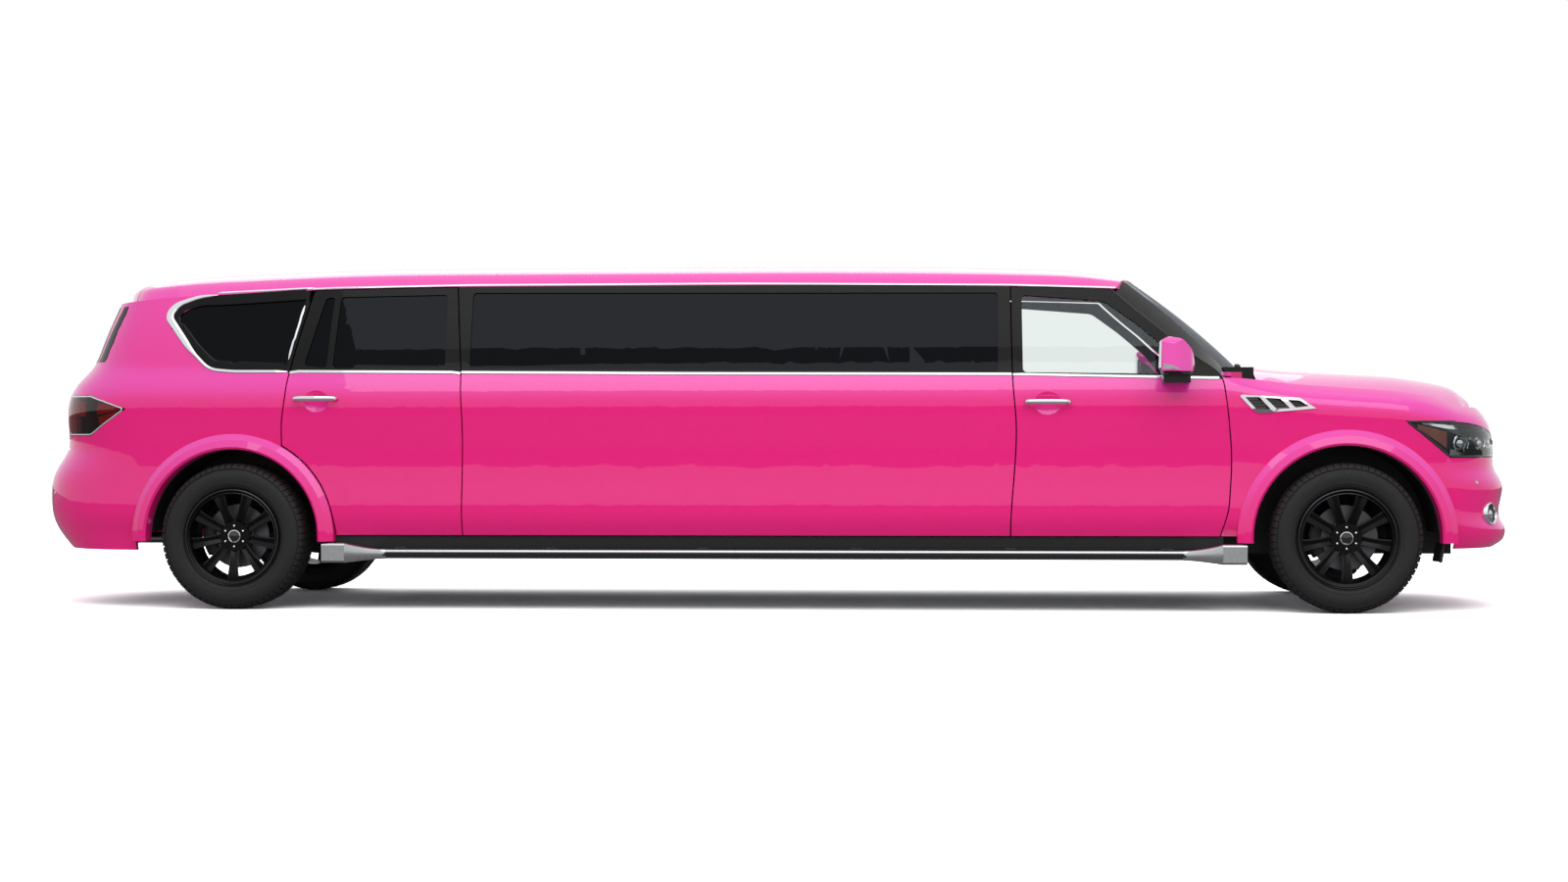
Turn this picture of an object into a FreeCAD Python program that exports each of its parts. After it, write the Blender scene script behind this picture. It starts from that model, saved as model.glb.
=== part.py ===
# Stretch limousine on a full-size sport utility body, about 8.3 m long, as an
# assembly of its real pieces. Millimetres, +X to the front, +Y to the left,
# +Z up. The origin is on the ground, at the middle of the overall length.
#
# The painted body is cut from shells that share one skin: a side skin with a
# shoulder, a waist and a leaning glasshouse, and two ends that are rounded in
# plan. Each panel is a piece of such a shell, as thick as the whole wall.

import FreeCAD, Part
import math
import os

V = FreeCAD.Vector

# Overall sizes
overall_length = 8338.0
wheelbase = 6123.0
front_overhang = 960.0
skin_half_width = 988.0
track = 1725.0
roof_height = 1936.0

# Heights of the side, from the ground
sill_height = 415.0
belt_height = 1297.0
drip_height = 1800.0
bumper_bottom = 345.0

# Wheels and tyres
tyre_radius = 405.5
tyre_width = 275.0
rim_radius = 272.0

# Places along the body
front_x = overall_length / 2
front_axle_x = front_x - front_overhang
rear_axle_x = front_axle_x - wheelbase
rear_overhang = overall_length - wheelbase - front_overhang
a_post_setback = 616.0
front_door_length = 1180.0
stretch_length = 3040.0
rear_door_length = 1010.0
front_door_front_x = front_axle_x - a_post_setback
front_door_rear_x = front_door_front_x - front_door_length
rear_door_front_x = front_door_rear_x - stretch_length
rear_door_rear_x = rear_door_front_x - rear_door_length

# Walls and gaps
door_thickness = 96.0
frame_thickness = 42.0
panel_thickness = 40.0
roof_thickness = 36.0
hood_thickness = 24.0
glass_thickness = 6.0
panel_gap = 7.0
door_skin_thickness = 14.0
door_rabbet = 18.0
swing_gap = 1.0
pillar_seam_gap = 10.0
seat_gap = 0.3
overrun = 60.0

# Side skin: (level, share of the half width). Level 0 is the sill, 1 the belt
# and 2 the drip line at the top of the windows.
skin_shares = (
    (0.00, 0.936), (0.035, 0.962), (0.085, 0.982), (0.16, 0.990), (0.32, 0.981),
    (0.50, 0.979), (0.66, 0.988), (0.78, 1.000), (0.87, 0.998), (0.94, 0.982),
    (1.00, 0.955), (1.06, 0.940), (1.30, 0.911), (1.60, 0.871), (2.00, 0.808),
    (2.10, 0.790), (2.30, 0.750),
)
sill_tuck_share = 0.10
drip_share = 2.0
glasshouse_top_share = 2.03
tail_top_share = 2.22

# Ends, rounded in plan: how the outline bends from side to end
nose_round_length = 900.0
tail_round_length = 869.0
nose_power_share = 3.4
tail_power_share = 2.9

# Nose at the centre line: (share of the front's height, share of the overhang)
nose_shares = (
    (0.00, 0.93), (0.04, 0.985), (0.10, 1.000), (0.15, 0.995), (0.20, 0.965),
    (0.26, 0.957), (0.33, 0.968), (0.42, 0.982), (0.48, 0.975), (0.53, 0.945),
    (0.60, 0.926), (0.70, 0.920), (0.80, 0.912), (0.88, 0.895), (0.95, 0.868),
    (1.00, 0.840),
)
# Top edge of the fender: (share of the front clip's length, height share)
fender_top_shares = (
    (0.00, 0.983), (0.09, 0.975), (0.18, 0.960), (0.42, 0.938), (0.58, 0.922),
    (0.70, 0.892), (0.80, 0.849), (0.92, 0.830), (1.00, 0.825),
)
# Fender skin: (share of the fender's height, share of the half width)
fender_shares = (
    (0.00, 0.925), (0.10, 0.972), (0.20, 0.988), (0.36, 0.983), (0.55, 0.981),
    (0.72, 0.990), (0.84, 0.996), (0.90, 0.988), (0.95, 0.958), (0.98, 0.920),
    (1.00, 0.872),
)

# Tail at the centre line: (level as in skin_shares, share of the rear overhang)
tail_shares = (
    (-0.10, 0.90), (-0.04, 0.945), (0.05, 0.985), (0.15, 0.998), (0.25, 1.000),
    (0.36, 0.997), (0.42, 0.975), (0.48, 0.935), (0.54, 0.908), (0.62, 0.905),
    (0.76, 0.915), (0.86, 0.905), (0.94, 0.880), (1.00, 0.845), (1.10, 0.795),
    (1.50, 0.725), (2.00, 0.640), (2.10, 0.630),
)

# Lines along the side: (share from the rear axle to the front axle, height)
drip_shares = (
    (-0.12, 0.955), (-0.04, 0.976), (0.00, 0.981), (0.085, 0.994), (0.21, 1.000),
    (0.46, 1.000), (0.704, 0.992), (0.808, 0.981), (0.87, 0.972),
)
roof_shares = (
    (-0.140, 0.948), (-0.1228, 0.9545), (-0.0846, 0.9685), (-0.0465, 0.980), (0.0294, 0.990),
    (0.1426, 0.9995), (0.2363, 1.000), (0.4957, 0.9995), (0.6419, 0.995), (0.6964, 0.991),
    (0.7327, 0.987), (0.7688, 0.981), (0.7867, 0.972), (0.8047, 0.960), (0.8227, 0.937),
)
belt_rear_height = 1324.0
belt_front_height = 1268.0

# Body seams: (level, share of that door's length, from its rear to its front)
front_seam_shares = (
    (-0.10, 0.940), (0.00, 0.951), (0.165, 0.986), (0.47, 1.000), (0.75, 0.985),
    (1.00, 0.953), (1.10, 0.890), (1.33, 0.755), (1.52, 0.665), (1.69, 0.575),
    (1.90, 0.472), (2.04, 0.410),
)
middle_seam_shares = ((-0.10, -0.008), (0.00, -0.008), (0.65, 0.019), (1.00, 0.002), (2.04, -0.007))
lounge_seam_shares = ((-0.10, 1.004), (0.00, 1.004), (0.65, 1.011), (1.00, 0.997), (2.04, 0.952))
rear_seam_shares = ((-0.10, 0.000), (0.65, 0.000), (0.88, 0.022), (1.00, 0.031), (2.04, 0.155))

# Windows: (share of the door, stretch or rear overhang, share from belt to drip)
front_window_shares = (
    (0.050, 0.055), (0.810, 0.050), (0.700, 0.365), (0.560, 0.640), (0.425, 0.860),
    (0.045, 0.905),
)
rear_window_shares = ((0.275, 0.045), (0.905, 0.070), (0.900, 0.905), (0.300, 0.900))
rear_vent_window_shares = ((0.115, 0.075), (0.240, 0.045), (0.265, 0.900), (0.215, 0.890))
stretch_window_shares = ((0.014, 0.055), (0.975, 0.055), (0.975, 0.925), (0.014, 0.925))
quarter_window_shares = (
    (0.232, 0.070), (-0.020, 0.055), (-0.095, 0.100), (-0.295, 0.690), (-0.240, 0.810),
    (-0.150, 0.885), (0.305, 0.925),
)
window_corner = 26.0
glass_inset = 9.0

# Wheel arches and their flares
front_arch_radius = 502.0
rear_arch_radius = 487.0
flare_width = 84.0
flare_half_width = 1015.0
flare_root = 55.0
flare_lip = 12.0
flare_foot_height = 380.0
liner_thickness = 5.0
liner_inner_y = 500.0
liner_foot_height = 430.0

# Roof, hood and windshield
roof_power_share = 2.3
roof_front_x = front_axle_x - 1224.0
roof_seam_x = rear_axle_x - 642.0
spoiler_tip_x = rear_axle_x - 792.0
spoiler_half_width = 640.0
header_bow = 138.0
hood_crown = 142.0
hood_rear_x = front_axle_x - 470.0
hood_crown_shares = (
    (0.00, 0.58), (0.25, 0.62), (0.50, 0.66), (0.69, 0.78), (0.80, 0.98), (0.86, 0.75),
    (0.88, 0.50), (0.92, 0.30), (1.00, 0.25),
)
hood_gap = 8.0
fender_rim = 30.0
windshield_top_half = 668.0
windshield_foot_half = 770.0
windshield_foot_x = front_axle_x - 505.0
windshield_foot_height = 1342.0
windshield_foot_bow = 100.0
windshield_bulge = 14.0
pillar_thickness = 46.0
cowl_depth = 130.0
cowl_drop = 150.0

# Front end
clip_split_x = front_axle_x + 395.0
bumper_seam_height = 838.0
grille_top_height = 1056.0
grille_foot_height = 640.0
grille_top_half = 560.0
grille_foot_half = 408.0
grille_frame = 26.0
grille_depth = 46.0
grille_bar = 16.0
grille_bar_count = 6
grille_fin = 5.0
grille_fin_count = 9
intake_half_width = 420.0
intake_foot_height = 425.0
intake_top_height = 505.0
lamp_depth = 60.0
fog_lamp_radius = 46.0
fog_lamp_y = 735.0
fog_lamp_height = 533.0
fog_lamp_depth = 70.0

# Rear end
rear_bumper_height = 888.0
rear_bumper_drop = 90.0
tailgate_half_shares = (
    (0.00, 0.700), (0.09, 0.662), (0.33, 0.662), (0.44, 0.700), (0.97, 0.655),
)
tail_lamp_inner_half = 670.0
tail_window_foot_half = 590.0
tail_window_top_half = 560.0
tail_window_foot = 1372.0
tail_window_top = 1702.0
tail_window_corner = 60.0
plate_hole_spacing = 177.8
plate_hole_radius = 3.0
plate_height = 1030.0

# Floor, frame and running gear
floor_height = 440.0
floor_thickness = 25.0
floor_half_width = 780.0
sill_width = 60.0
cargo_height = 745.0
cargo_half_width = 600.0
side_cut_y = 300.0
cargo_front_x = rear_axle_x + 560.0
firewall_x = front_axle_x - 640.0
firewall_half_width = 730.0
rail_y = 420.0
rail_width = 76.0
rail_height = 130.0
rail_foot = 300.0
rail_kick = 290.0
crossmember_width = 90.0
crossmember_height = 36.0
rail_end_gap = 12.0
engine_length = 760.0
engine_width = 660.0
engine_height = 620.0
engine_set_back = 70.0
axle_tube_radius = 44.0
banjo_radius = 125.0
spindle_radius = 36.0
hub_face_y = 815.0
arm_thickness = 34.0
arm_span = 150.0
spring_radius = 62.0
kingpin_y = 748.0
knuckle_radius = 38.0
running_board_outer = 1000.0
running_board_inner = 850.0
running_board_top = 338.0
running_board_foot = 286.0
running_board_front_x = front_axle_x - 535.0
running_board_rear_x = rear_axle_x + 510.0
board_bracket = 60.0
board_end_length = 130.0
board_end_outer = 1006.0
board_end_top = 372.0
board_end_foot = 262.0
tank_length = 900.0
tank_height = 150.0
exhaust_radius = 32.0
muffler_radius = 56.0
muffler_length = 520.0
tail_pipe_length = 200.0
shaft_radius = 34.0

# Wheels
spoke_count = 9
first_spoke_angle = 180.0
hub_radius = 82.0
spoke_tip_width = 74.0
# Spoke: (share of its length, share of the tip's width, place and depth as shares
# of the rim's half width), and its section: (share of the width, share of the depth)
spoke_shares = ((0.0, 0.78, 0.55, 0.34), (0.5, 0.70, 0.80, 0.24), (1.0, 1.00, 0.84, 0.16))
spoke_section_shares = (
    (-0.50, 0.90), (-0.40, 1.00), (0.00, 0.74), (0.40, 1.00), (0.50, 0.90), (0.36, 0.00), (-0.36, 0.00),
)
rim_half_width = 118.0
barrel_thickness = 12.0
rim_drop = 20.0
disc_radius = 178.0
disc_thickness = 30.0
bead_radius = 254.0
tyre_shoulder = 30.0
tread_half_width = 122.0

# Places of smaller pieces
lamp_tip_reach = 92.0
lamp_foot_reach = 158.0
lamp_recess = 12.0
fog_lamp_set_back = 230.0
windshield_foot_drop = 55.0
rear_bumper_knee_x = rear_axle_x - 760.0
tail_lamp_tip_x = rear_axle_x - 606.0
tail_lamp_tip_height = 1119.0
tail_lamp_reach = 235.0
tail_lamp_top = 1196.0
tail_lamp_foot = 966.0
striker_height = 60.0
striker_width = 90.0
rail_kick_reach = 230.0
crossmember_reach = 560.0
hood_rest = 40.0
front_rail_reach = 640.0
knuckle_foot_height = 345.0
knuckle_top_height = 520.0
spring_share = 0.42
exhaust_y = 220.0
glasshouse_foot_share = 0.98
nose_rise = 38.0

# Cabin
seat_width = 520.0
seat_depth = 520.0
seat_height = 330.0
seat_back_thickness = 140.0
seat_back_height = 640.0
front_seat_x = front_door_rear_x + 120.0
front_seat_y = 400.0
lounge_bench_width = 560.0
partition_x = front_door_rear_x - 120.0
partition_thickness = 50.0
dash_depth = 330.0
dash_height = 330.0
dash_foot = 760.0
steering_wheel_radius = 190.0
steering_rim_radius = 16.0
steering_tilt_degrees = 25.0
steering_column_radius = 24.0

# Mirrors
mirror_length = 190.0
mirror_width = 205.0
mirror_height = 208.0
mirror_inner_y = 985.0
mirror_front_x = front_door_front_x - 205.0
mirror_foot = 1282.0
mirror_corner = 45.0
mirror_arm = 46.0
# Mirror shell from the side, from above and from behind, as shares of its box
mirror_side_shares = (
    (0.00, 0.10), (0.03, 0.92), (0.22, 1.00), (0.60, 0.95), (0.90, 0.66),
    (1.00, 0.30), (0.90, 0.04), (0.45, 0.00),
)
mirror_plan_shares = ((0.00, 0.00), (0.00, 0.97), (0.45, 1.00), (0.88, 0.72), (1.00, 0.30), (0.92, 0.02))
mirror_rear_shares = ((0.00, 0.02), (0.02, 0.95), (0.80, 1.00), (1.00, 0.84), (1.00, 0.16), (0.88, 0.03))

# Door handles, each on two feet over a round hollow in the door
handle_length = 255.0
handle_height = 30.0
handle_reach = 48.0
handle_thickness = 15.0
handle_foot_length = 34.0
handle_foot_depth = 20.0
front_handle_share = 0.163
rear_handle_share = 0.198
front_handle_height = 1145.0
rear_handle_height = 1172.0
cup_radius = 76.0
cup_depth = 17.0

# Vent in the fender: (share of the front clip, share of the belt's height)
vent_shares = (
    (0.027, 0.905), (0.035, 0.911), (0.230, 0.896), (0.285, 0.853), (0.093, 0.833), (0.072, 0.846),
)
vent_opening_shares = (
    ((0.045, 0.9005), (0.093, 0.9005), (0.131, 0.8504), (0.084, 0.8481)),
    ((0.112, 0.8982), (0.164, 0.8951), (0.197, 0.8535), (0.151, 0.8512)),
    ((0.189, 0.8897), (0.230, 0.8872), (0.260, 0.8625), (0.215, 0.8558)),
)
vent_height = 7.0
vent_pocket = 14.0
vent_corner = 9.0


# Small tools for curves, outlines and solids


def mix(a, b, share):
    return a + (b - a) * share


def clamp_share(value):
    return min(1.0, max(0.0, value))


def along(table, place):
    """Smooth value of a table of (place, value) pairs, with no overshoot."""
    if place <= table[0][0]:
        return table[0][1]
    if place >= table[-1][0]:
        return table[-1][1]
    slopes = [(b[1] - a[1]) / (b[0] - a[0]) for a, b in zip(table, table[1:])]
    tangents = [slopes[0]]
    for before, after in zip(slopes, slopes[1:]):
        same_way = before * after > 0
        tangents.append(2 * before * after / (before + after) if same_way else 0.0)
    tangents.append(slopes[-1])
    i = max(k for k in range(len(table) - 1) if table[k][0] <= place)
    width = table[i + 1][0] - table[i][0]
    t = (place - table[i][0]) / width
    rise = table[i + 1][1] - table[i][1]
    start, end = tangents[i] * width, tangents[i + 1] * width
    cubic = start + end - 2 * rise
    square = 3 * rise - 2 * start - end
    return table[i][1] + t * (start + t * (square + t * cubic))


def spline_edge(points):
    curve = Part.BSplineCurve()
    curve.interpolate(points)
    return curve.toShape()


def clamped_knots(count):
    """Degree, knots and multiplicities of an even spline with count poles."""
    degree = min(3, count - 1)
    spans = count - degree
    return degree, list(range(spans + 1)), [degree + 1] + [1] * (spans - 1) + [degree + 1]


def grid_surface(rows):
    """Smooth surface drawn by a grid of points, with no ripple between them."""
    degree_u, knots_u, repeats_u = clamped_knots(len(rows))
    degree_v, knots_v, repeats_v = clamped_knots(len(rows[0]))
    surface = Part.BSplineSurface()
    surface.buildFromPolesMultsKnots(rows, repeats_u, repeats_v, knots_u, knots_v,
                                     False, False, degree_u, degree_v)
    return surface


def sheet_solid(outer_rows, inner_rows):
    """Solid between two grids of points that have the same rows and columns."""
    outer, inner = grid_surface(outer_rows), grid_surface(inner_rows)
    u0, u1, v0, v1 = outer.bounds()
    s0, s1, t0, t1 = inner.bounds()
    rims = [
        (outer.uIso(u0), inner.uIso(s0)), (outer.uIso(u1), inner.uIso(s1)),
        (outer.vIso(v0), inner.vIso(t0)), (outer.vIso(v1), inner.vIso(t1)),
    ]
    faces = [outer.toShape(), inner.toShape()]
    faces += [Part.makeRuledSurface(a.toShape(), b.toShape()) for a, b in rims]
    shell = Part.makeShell(faces)
    shell.sewShape()
    solid = Part.makeSolid(shell if shell.ShapeType == "Shell" else shell.Shells[0])
    if solid.Volume < 0:
        solid.reverse()
    return solid


def outline_wire(points, radius=0.0):
    """Closed outline in the XZ plane. Corners are rounded where radius is given."""
    count = len(points)
    edges, starts, ends = [], [], []
    for i, (x, z) in enumerate(points):
        here = V(x, 0, z)
        before = V(points[i - 1][0], 0, points[i - 1][1])
        after = V(points[(i + 1) % count][0], 0, points[(i + 1) % count][1])
        a, b = before - here, after - here
        reach = min(radius, a.Length / 3, b.Length / 3)
        a.normalize()
        b.normalize()
        if reach <= 0:
            starts.append(here)
            ends.append(here)
            continue
        first, last = here + a * reach, here + b * reach
        middle = here * 0.5 + (first + last) * 0.25
        edges.append((i, Part.Arc(first, middle, last).toShape()))
        starts.append(first)
        ends.append(last)
    arcs = dict(edges)
    ordered = []
    for i in range(count):
        if i in arcs:
            ordered.append(arcs[i])
        ordered.append(Part.makeLine(ends[i], starts[(i + 1) % count]))
    return Part.Wire(ordered)


def curved_wire(stretches):
    """Closed XZ outline. Each stretch is a list of points: two make a line."""
    edges = []
    for points in stretches:
        places = [V(x, 0, z) for x, z in points]
        edge = Part.makeLine(*places) if len(places) == 2 else spline_edge(places)
        edges.append(edge)
    return Part.Wire(edges)


def across(wire, y_low, y_high):
    """Prism of an XZ outline from y_low to y_high."""
    face = Part.Face(wire)
    face.translate(V(0, y_low, 0))
    return face.extrude(V(0, y_high - y_low, 0))


def through(wire):
    """Prism of an XZ outline through the whole width."""
    return across(wire, -skin_half_width - overrun * 4, skin_half_width + overrun * 4)


def box(x0, x1, y0, y1, z0, z1):
    return Part.makeBox(x1 - x0, y1 - y0, z1 - z0, V(x0, y0, z0))


def rod(start, end, radius):
    return Part.makeCylinder(radius, (end - start).Length, start, end - start)


def wheel_cylinder(x, radius, y0, y1, z=tyre_radius):
    return Part.makeCylinder(radius, y1 - y0, V(x, y0, z), V(0, 1, 0))


def mirrored(shape):
    return shape.mirror(V(0, 0, 0), V(0, 1, 0))


def both(shape):
    """A piece and its mirror image, as solids that don't touch."""
    return Part.makeCompound(shape.Solids + mirrored(shape).Solids)


def fused(first, *others):
    return first.fuse(list(others)).removeSplitter()


def revolved(profile, centre_x, centre_y=0.0, centre_z=tyre_radius):
    """Solid of revolution about a wheel's axis. Profile points are (radius, y)."""
    points = [V(centre_x, y + centre_y, centre_z + r) for r, y in profile]
    face = Part.Face(Part.makePolygon(points + points[:1]))
    return face.revolve(V(centre_x, centre_y, centre_z), V(0, 1, 0), 360)


# The body's master lines


def height_at(level):
    if level <= 1:
        return mix(sill_height, belt_height, level)
    return mix(belt_height, drip_height, level - 1)


def skin_y(level):
    return skin_half_width * along(skin_shares, level)


def level_at(z):
    if z <= belt_height:
        return (z - sill_height) / (belt_height - sill_height)
    return 1 + (z - belt_height) / (drip_height - belt_height)


def wheelbase_share(x):
    return (x - rear_axle_x) / wheelbase


def drip_z(x):
    return drip_height * along(drip_shares, wheelbase_share(x))


def belt_z(x):
    share = (x - rear_door_rear_x) / (front_door_front_x - rear_door_rear_x)
    return mix(belt_rear_height, belt_front_height, share)


def wall_depth(level, thin, thick):
    """Thickness of a side wall: the whole door below the belt, its frame above."""
    return mix(thick, thin, clamp_share((level - 0.88) / 0.16))


def side_layer(x0, x1, outer_depth, thin, thick):
    """Straight side wall on the left from x0 to x1, below the skin by outer_depth."""
    outer, inner = [], []
    for level in levels(skin_shares[0][0] - sill_tuck_share, glasshouse_top_share):
        y, z = skin_y(level), height_at(level)
        depth = wall_depth(level, thin, thick)
        stations = (x0, mix(x0, x1, 0.5), x1)
        outer.append([V(x, y - outer_depth, z) for x in stations])
        inner.append([V(x, y - depth, z) for x in stations])
    return sheet_solid(outer, inner)


def evenly(points, count):
    """The same run of points, laid out again at equal distances."""
    lengths = [0.0]
    for a, b in zip(points, points[1:]):
        lengths.append(lengths[-1] + math.dist(a, b))
    placed = []
    k = 0
    for i in range(count):
        want = lengths[-1] * i / (count - 1)
        while k < len(points) - 2 and lengths[k + 1] < want:
            k += 1
        share = (want - lengths[k]) / (lengths[k + 1] - lengths[k])
        placed.append(tuple(mix(p, q, share) for p, q in zip(points[k], points[k + 1])))
    return placed


def end_outline(half_width, start_x, round_start_x, end_x, power_share):
    """Plan outline of one end, from the left side round to the right side."""
    fine = 90
    points_round = 49
    arm = end_x - round_start_x
    left = [(start_x, half_width)]
    for i in range(fine + 1):
        turn = math.pi / 2 * (1 - i / fine)
        left.append((round_start_x + arm * max(0.0, math.cos(turn)) ** (2 / power_share),
                     half_width * max(0.0, math.sin(turn)) ** (2 / power_share)))
    return evenly(left + [(x, -y) for x, y in reversed(left[:-1])], points_round)


def levels(low, high):
    """Evenly spaced levels for the rows of a skin."""
    steps = 26
    return [mix(low, high, i / steps) for i in range(steps + 1)]


def tail_layer(outer_depth, thin, thick):
    """Rear shell: quarters, tailgate and bumper, below the skin by outer_depth."""
    outer, inner = [], []
    start = rear_door_rear_x + overrun * 2
    round_start = rear_axle_x - rear_overhang + tail_round_length
    for level in levels(tail_shares[0][0], tail_top_share):
        z = height_at(level)
        tail = rear_axle_x - rear_overhang * along(tail_shares, level)
        depth = wall_depth(level, thin, thick)
        for rows, inset in ((outer, outer_depth), (inner, depth)):
            plan = end_outline(skin_y(level) - inset, start, round_start,
                               tail + inset, tail_power_share)
            rows.append([V(x, y, z) for x, y in plan])
    return sheet_solid(outer, inner)


def front_share(x):
    return (x - front_door_front_x) / (front_x - front_door_front_x)


def fender_top_z(x):
    return belt_height * along(fender_top_shares, front_share(x))


def nose_rows(inset):
    """Rows of points of the front shell, each at one share of its height."""
    rows = []
    start = front_door_front_x - overrun
    round_start = front_x - nose_round_length
    for level in levels(0.0, 1.0):
        nose = front_axle_x + front_overhang * along(nose_shares, level)
        width = skin_half_width * along(fender_shares, level)
        row = []
        plan = end_outline(skin_half_width, start, round_start, nose - inset, nose_power_share)
        for x, y in plan:
            side_share = y / skin_half_width
            top = fender_top_z(x) + nose_rise * (1 - abs(side_share) ** 3)
            z = mix(bumper_bottom, top, level)
            door_width = skin_y(level_at(z))
            near_door = 1 - clamp_share(front_share(x) / 0.30)
            half = mix(width, door_width, near_door * near_door)
            row.append(V(x, side_share * (half - inset), z))
        rows.append(row)
    return rows


def nose_layer(outer_depth, inner_depth):
    return sheet_solid(nose_rows(outer_depth), nose_rows(inner_depth))


def hood_half_width(x):
    """Half width of the hood's outline in plan at x."""
    side = skin_half_width * fender_shares[-1][1] - fender_rim - hood_gap
    start = front_x - nose_round_length
    end = front_axle_x + front_overhang * nose_shares[-1][1] - fender_rim - hood_gap
    along_round = clamp_share((x - start) / (end - start))
    return side * (1 - along_round ** nose_power_share) ** (1 / nose_power_share)


def hood_z(x, y):
    """Top of the hood: seam height at the fenders, crowned in the middle."""
    side = max(hood_half_width(x), hood_half_width(front_axle_x) / 2)
    crown = hood_crown * along(hood_crown_shares, front_share(x))
    return fender_top_z(x) + crown * (1 - min(1.2, abs(y) / side) ** 3)


def roof_half_width(x):
    """Half width at the drip line. It follows the rear end's rounded plan."""
    side = skin_y(drip_share)
    start = rear_axle_x - rear_overhang + tail_round_length
    end = rear_axle_x - rear_overhang * along(tail_shares, drip_share)
    along_round = clamp_share((start - x) / (start - end))
    return side * (1 - along_round ** tail_power_share) ** (1 / tail_power_share)


def crown_z(x):
    return roof_height * along(roof_shares, wheelbase_share(x))


def roof_arch(half_width, height, count):
    """Cross section of the roof from left to right, evenly spaced."""
    fine = 60
    points = []
    for i in range(fine + 1):
        turn = math.pi / 2 * i / fine
        points.append((half_width * max(0.0, math.cos(turn)) ** (2 / roof_power_share),
                       height * max(0.0, math.sin(turn)) ** (2 / roof_power_share)))
    return evenly(points + [(-y, z) for y, z in reversed(points[:-1])], count)


def header_x(x, y):
    """Carries a roof station forward towards the middle, near the windshield."""
    nearness = clamp_share((x - front_door_rear_x) / (roof_front_x - front_door_rear_x))
    across_share = clamp_share(abs(y) / skin_y(drip_share))
    return x + header_bow * nearness ** 2 * (1 - across_share ** 2)


def roof_rows(inset, drop):
    """Rows of points over the roof, from the spoiler's tip to the header."""
    rows = []
    stations = 42
    for i in range(stations + 1):
        x = mix(spoiler_tip_x, roof_front_x, i / stations)
        row = []
        for y, share in roof_arch(roof_half_width(x) - inset, 1.0, 33):
            place = header_x(x, y)
            low = drip_z(place)
            row.append(V(place, y, low + (crown_z(place) - low - drop) * share))
        rows.append(row)
    return rows


def roof_layer():
    return sheet_solid(roof_rows(0.0, 0.0), roof_rows(frame_thickness, roof_thickness))


def under_roof(gap):
    """All that lies under the roof's inner face, and under the drip line beside it."""
    outer = roof_rows(frame_thickness + gap, roof_thickness + gap)
    low = [[V(p.x, p.y, sill_height) for p in row] for row in outer]
    back = rear_axle_x - rear_overhang - overrun
    return sheet_solid(outer, low).fuse(under_drip(back, rear_door_front_x, seat_gap, 0))


# Outlines of the side


def seam_points(shares, rear_x, length, shift):
    """Points up a whole seam, from under the sill to the roof, moved along X."""
    low, high = shares[0][0], shares[-1][0]
    steps = 24
    points = []
    for i in range(steps + 1):
        level = mix(low, high, i / steps)
        points.append((rear_x + length * along(shares, level) + shift, height_at(level)))
    return points


def front_seam(shift=0.0):
    return seam_points(front_seam_shares, front_door_rear_x, front_door_length, shift)


def middle_seam(shift=0.0):
    return seam_points(middle_seam_shares, front_door_rear_x, front_door_length, shift)


def lounge_seam(shift=0.0):
    return seam_points(lounge_seam_shares, rear_door_rear_x, rear_door_length, shift)


def rear_seam(shift=0.0):
    return seam_points(rear_seam_shares, rear_door_rear_x, rear_door_length, shift)


def drip_points(x0, x1, drop):
    steps = 8
    stations = [mix(x0, x1, i / steps) for i in range(steps + 1)]
    return [(x, drip_z(x) - drop) for x in stations]


def under_drip(x0, x1, drop, foot):
    """Prism through the body of all that lies under the drip line."""
    return through(curved_wire([
        drip_points(x0, x1, drop), [(x1, drip_z(x1) - drop), (x1, foot)],
        [(x1, foot), (x0, foot)], [(x0, foot), (x0, drip_z(x0) - drop)],
    ]))


def between_seams(rear_points, front_points):
    """Prism between two seams that run up from the same height."""
    return through(curved_wire([
        rear_points, [rear_points[-1], front_points[-1]],
        list(reversed(front_points)), [front_points[0], rear_points[0]],
    ]))


def inset_outline(points, inset):
    """Outline moved inwards by the same distance along every side."""
    area = sum(a[0] * b[1] - b[0] * a[1] for a, b in zip(points, points[1:] + points[:1]))
    turn = math.copysign(inset, area)
    moved = []
    for i, (x, z) in enumerate(points):
        before, after = points[i - 1], points[(i + 1) % len(points)]
        size_a, size_b = math.dist((x, z), before), math.dist(after, (x, z))
        ax, az = (x - before[0]) / size_a, (z - before[1]) / size_a
        bx, bz = (after[0] - x) / size_b, (after[1] - z) / size_b
        share = 1 / (1 + ax * bx + az * bz)
        moved.append((x - turn * (az + bz) * share, z + turn * (ax + bx) * share))
    return moved


def window_points(shares, rear_x, length, inset=0.0):
    points = [(rear_x + length * a, mix(belt_z(rear_x + length * a), drip_z(rear_x + length * a), b))
              for a, b in shares]
    return inset_outline(points, inset)


def window_prism(shares, rear_x, length, inset=0.0):
    return through(outline_wire(window_points(shares, rear_x, length, inset), window_corner))


windows = {
    "front": (front_window_shares, front_door_rear_x, front_door_length),
    "rear": (rear_window_shares, rear_door_rear_x, rear_door_length),
    "vent": (rear_vent_window_shares, rear_door_rear_x, rear_door_length),
    "stretch": (stretch_window_shares, rear_door_front_x, stretch_length),
    "quarter": (quarter_window_shares, rear_axle_x, rear_overhang),
}


def pane(layer, name):
    """Pane of glass that fills a window, with a fitting gap all round."""
    return layer.common(window_prism(*windows[name], seat_gap))


def along_x(points, x0, x1, radius=0.0):
    """Prism along X of an outline given as (y, z) points."""
    face = Part.Face(outline_wire(points, radius))
    face.rotate(V(0, 0, 0), V(0, 0, 1), 90)
    face.translate(V(x0, 0, 0))
    return face.extrude(V(x1 - x0, 0, 0))


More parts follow.
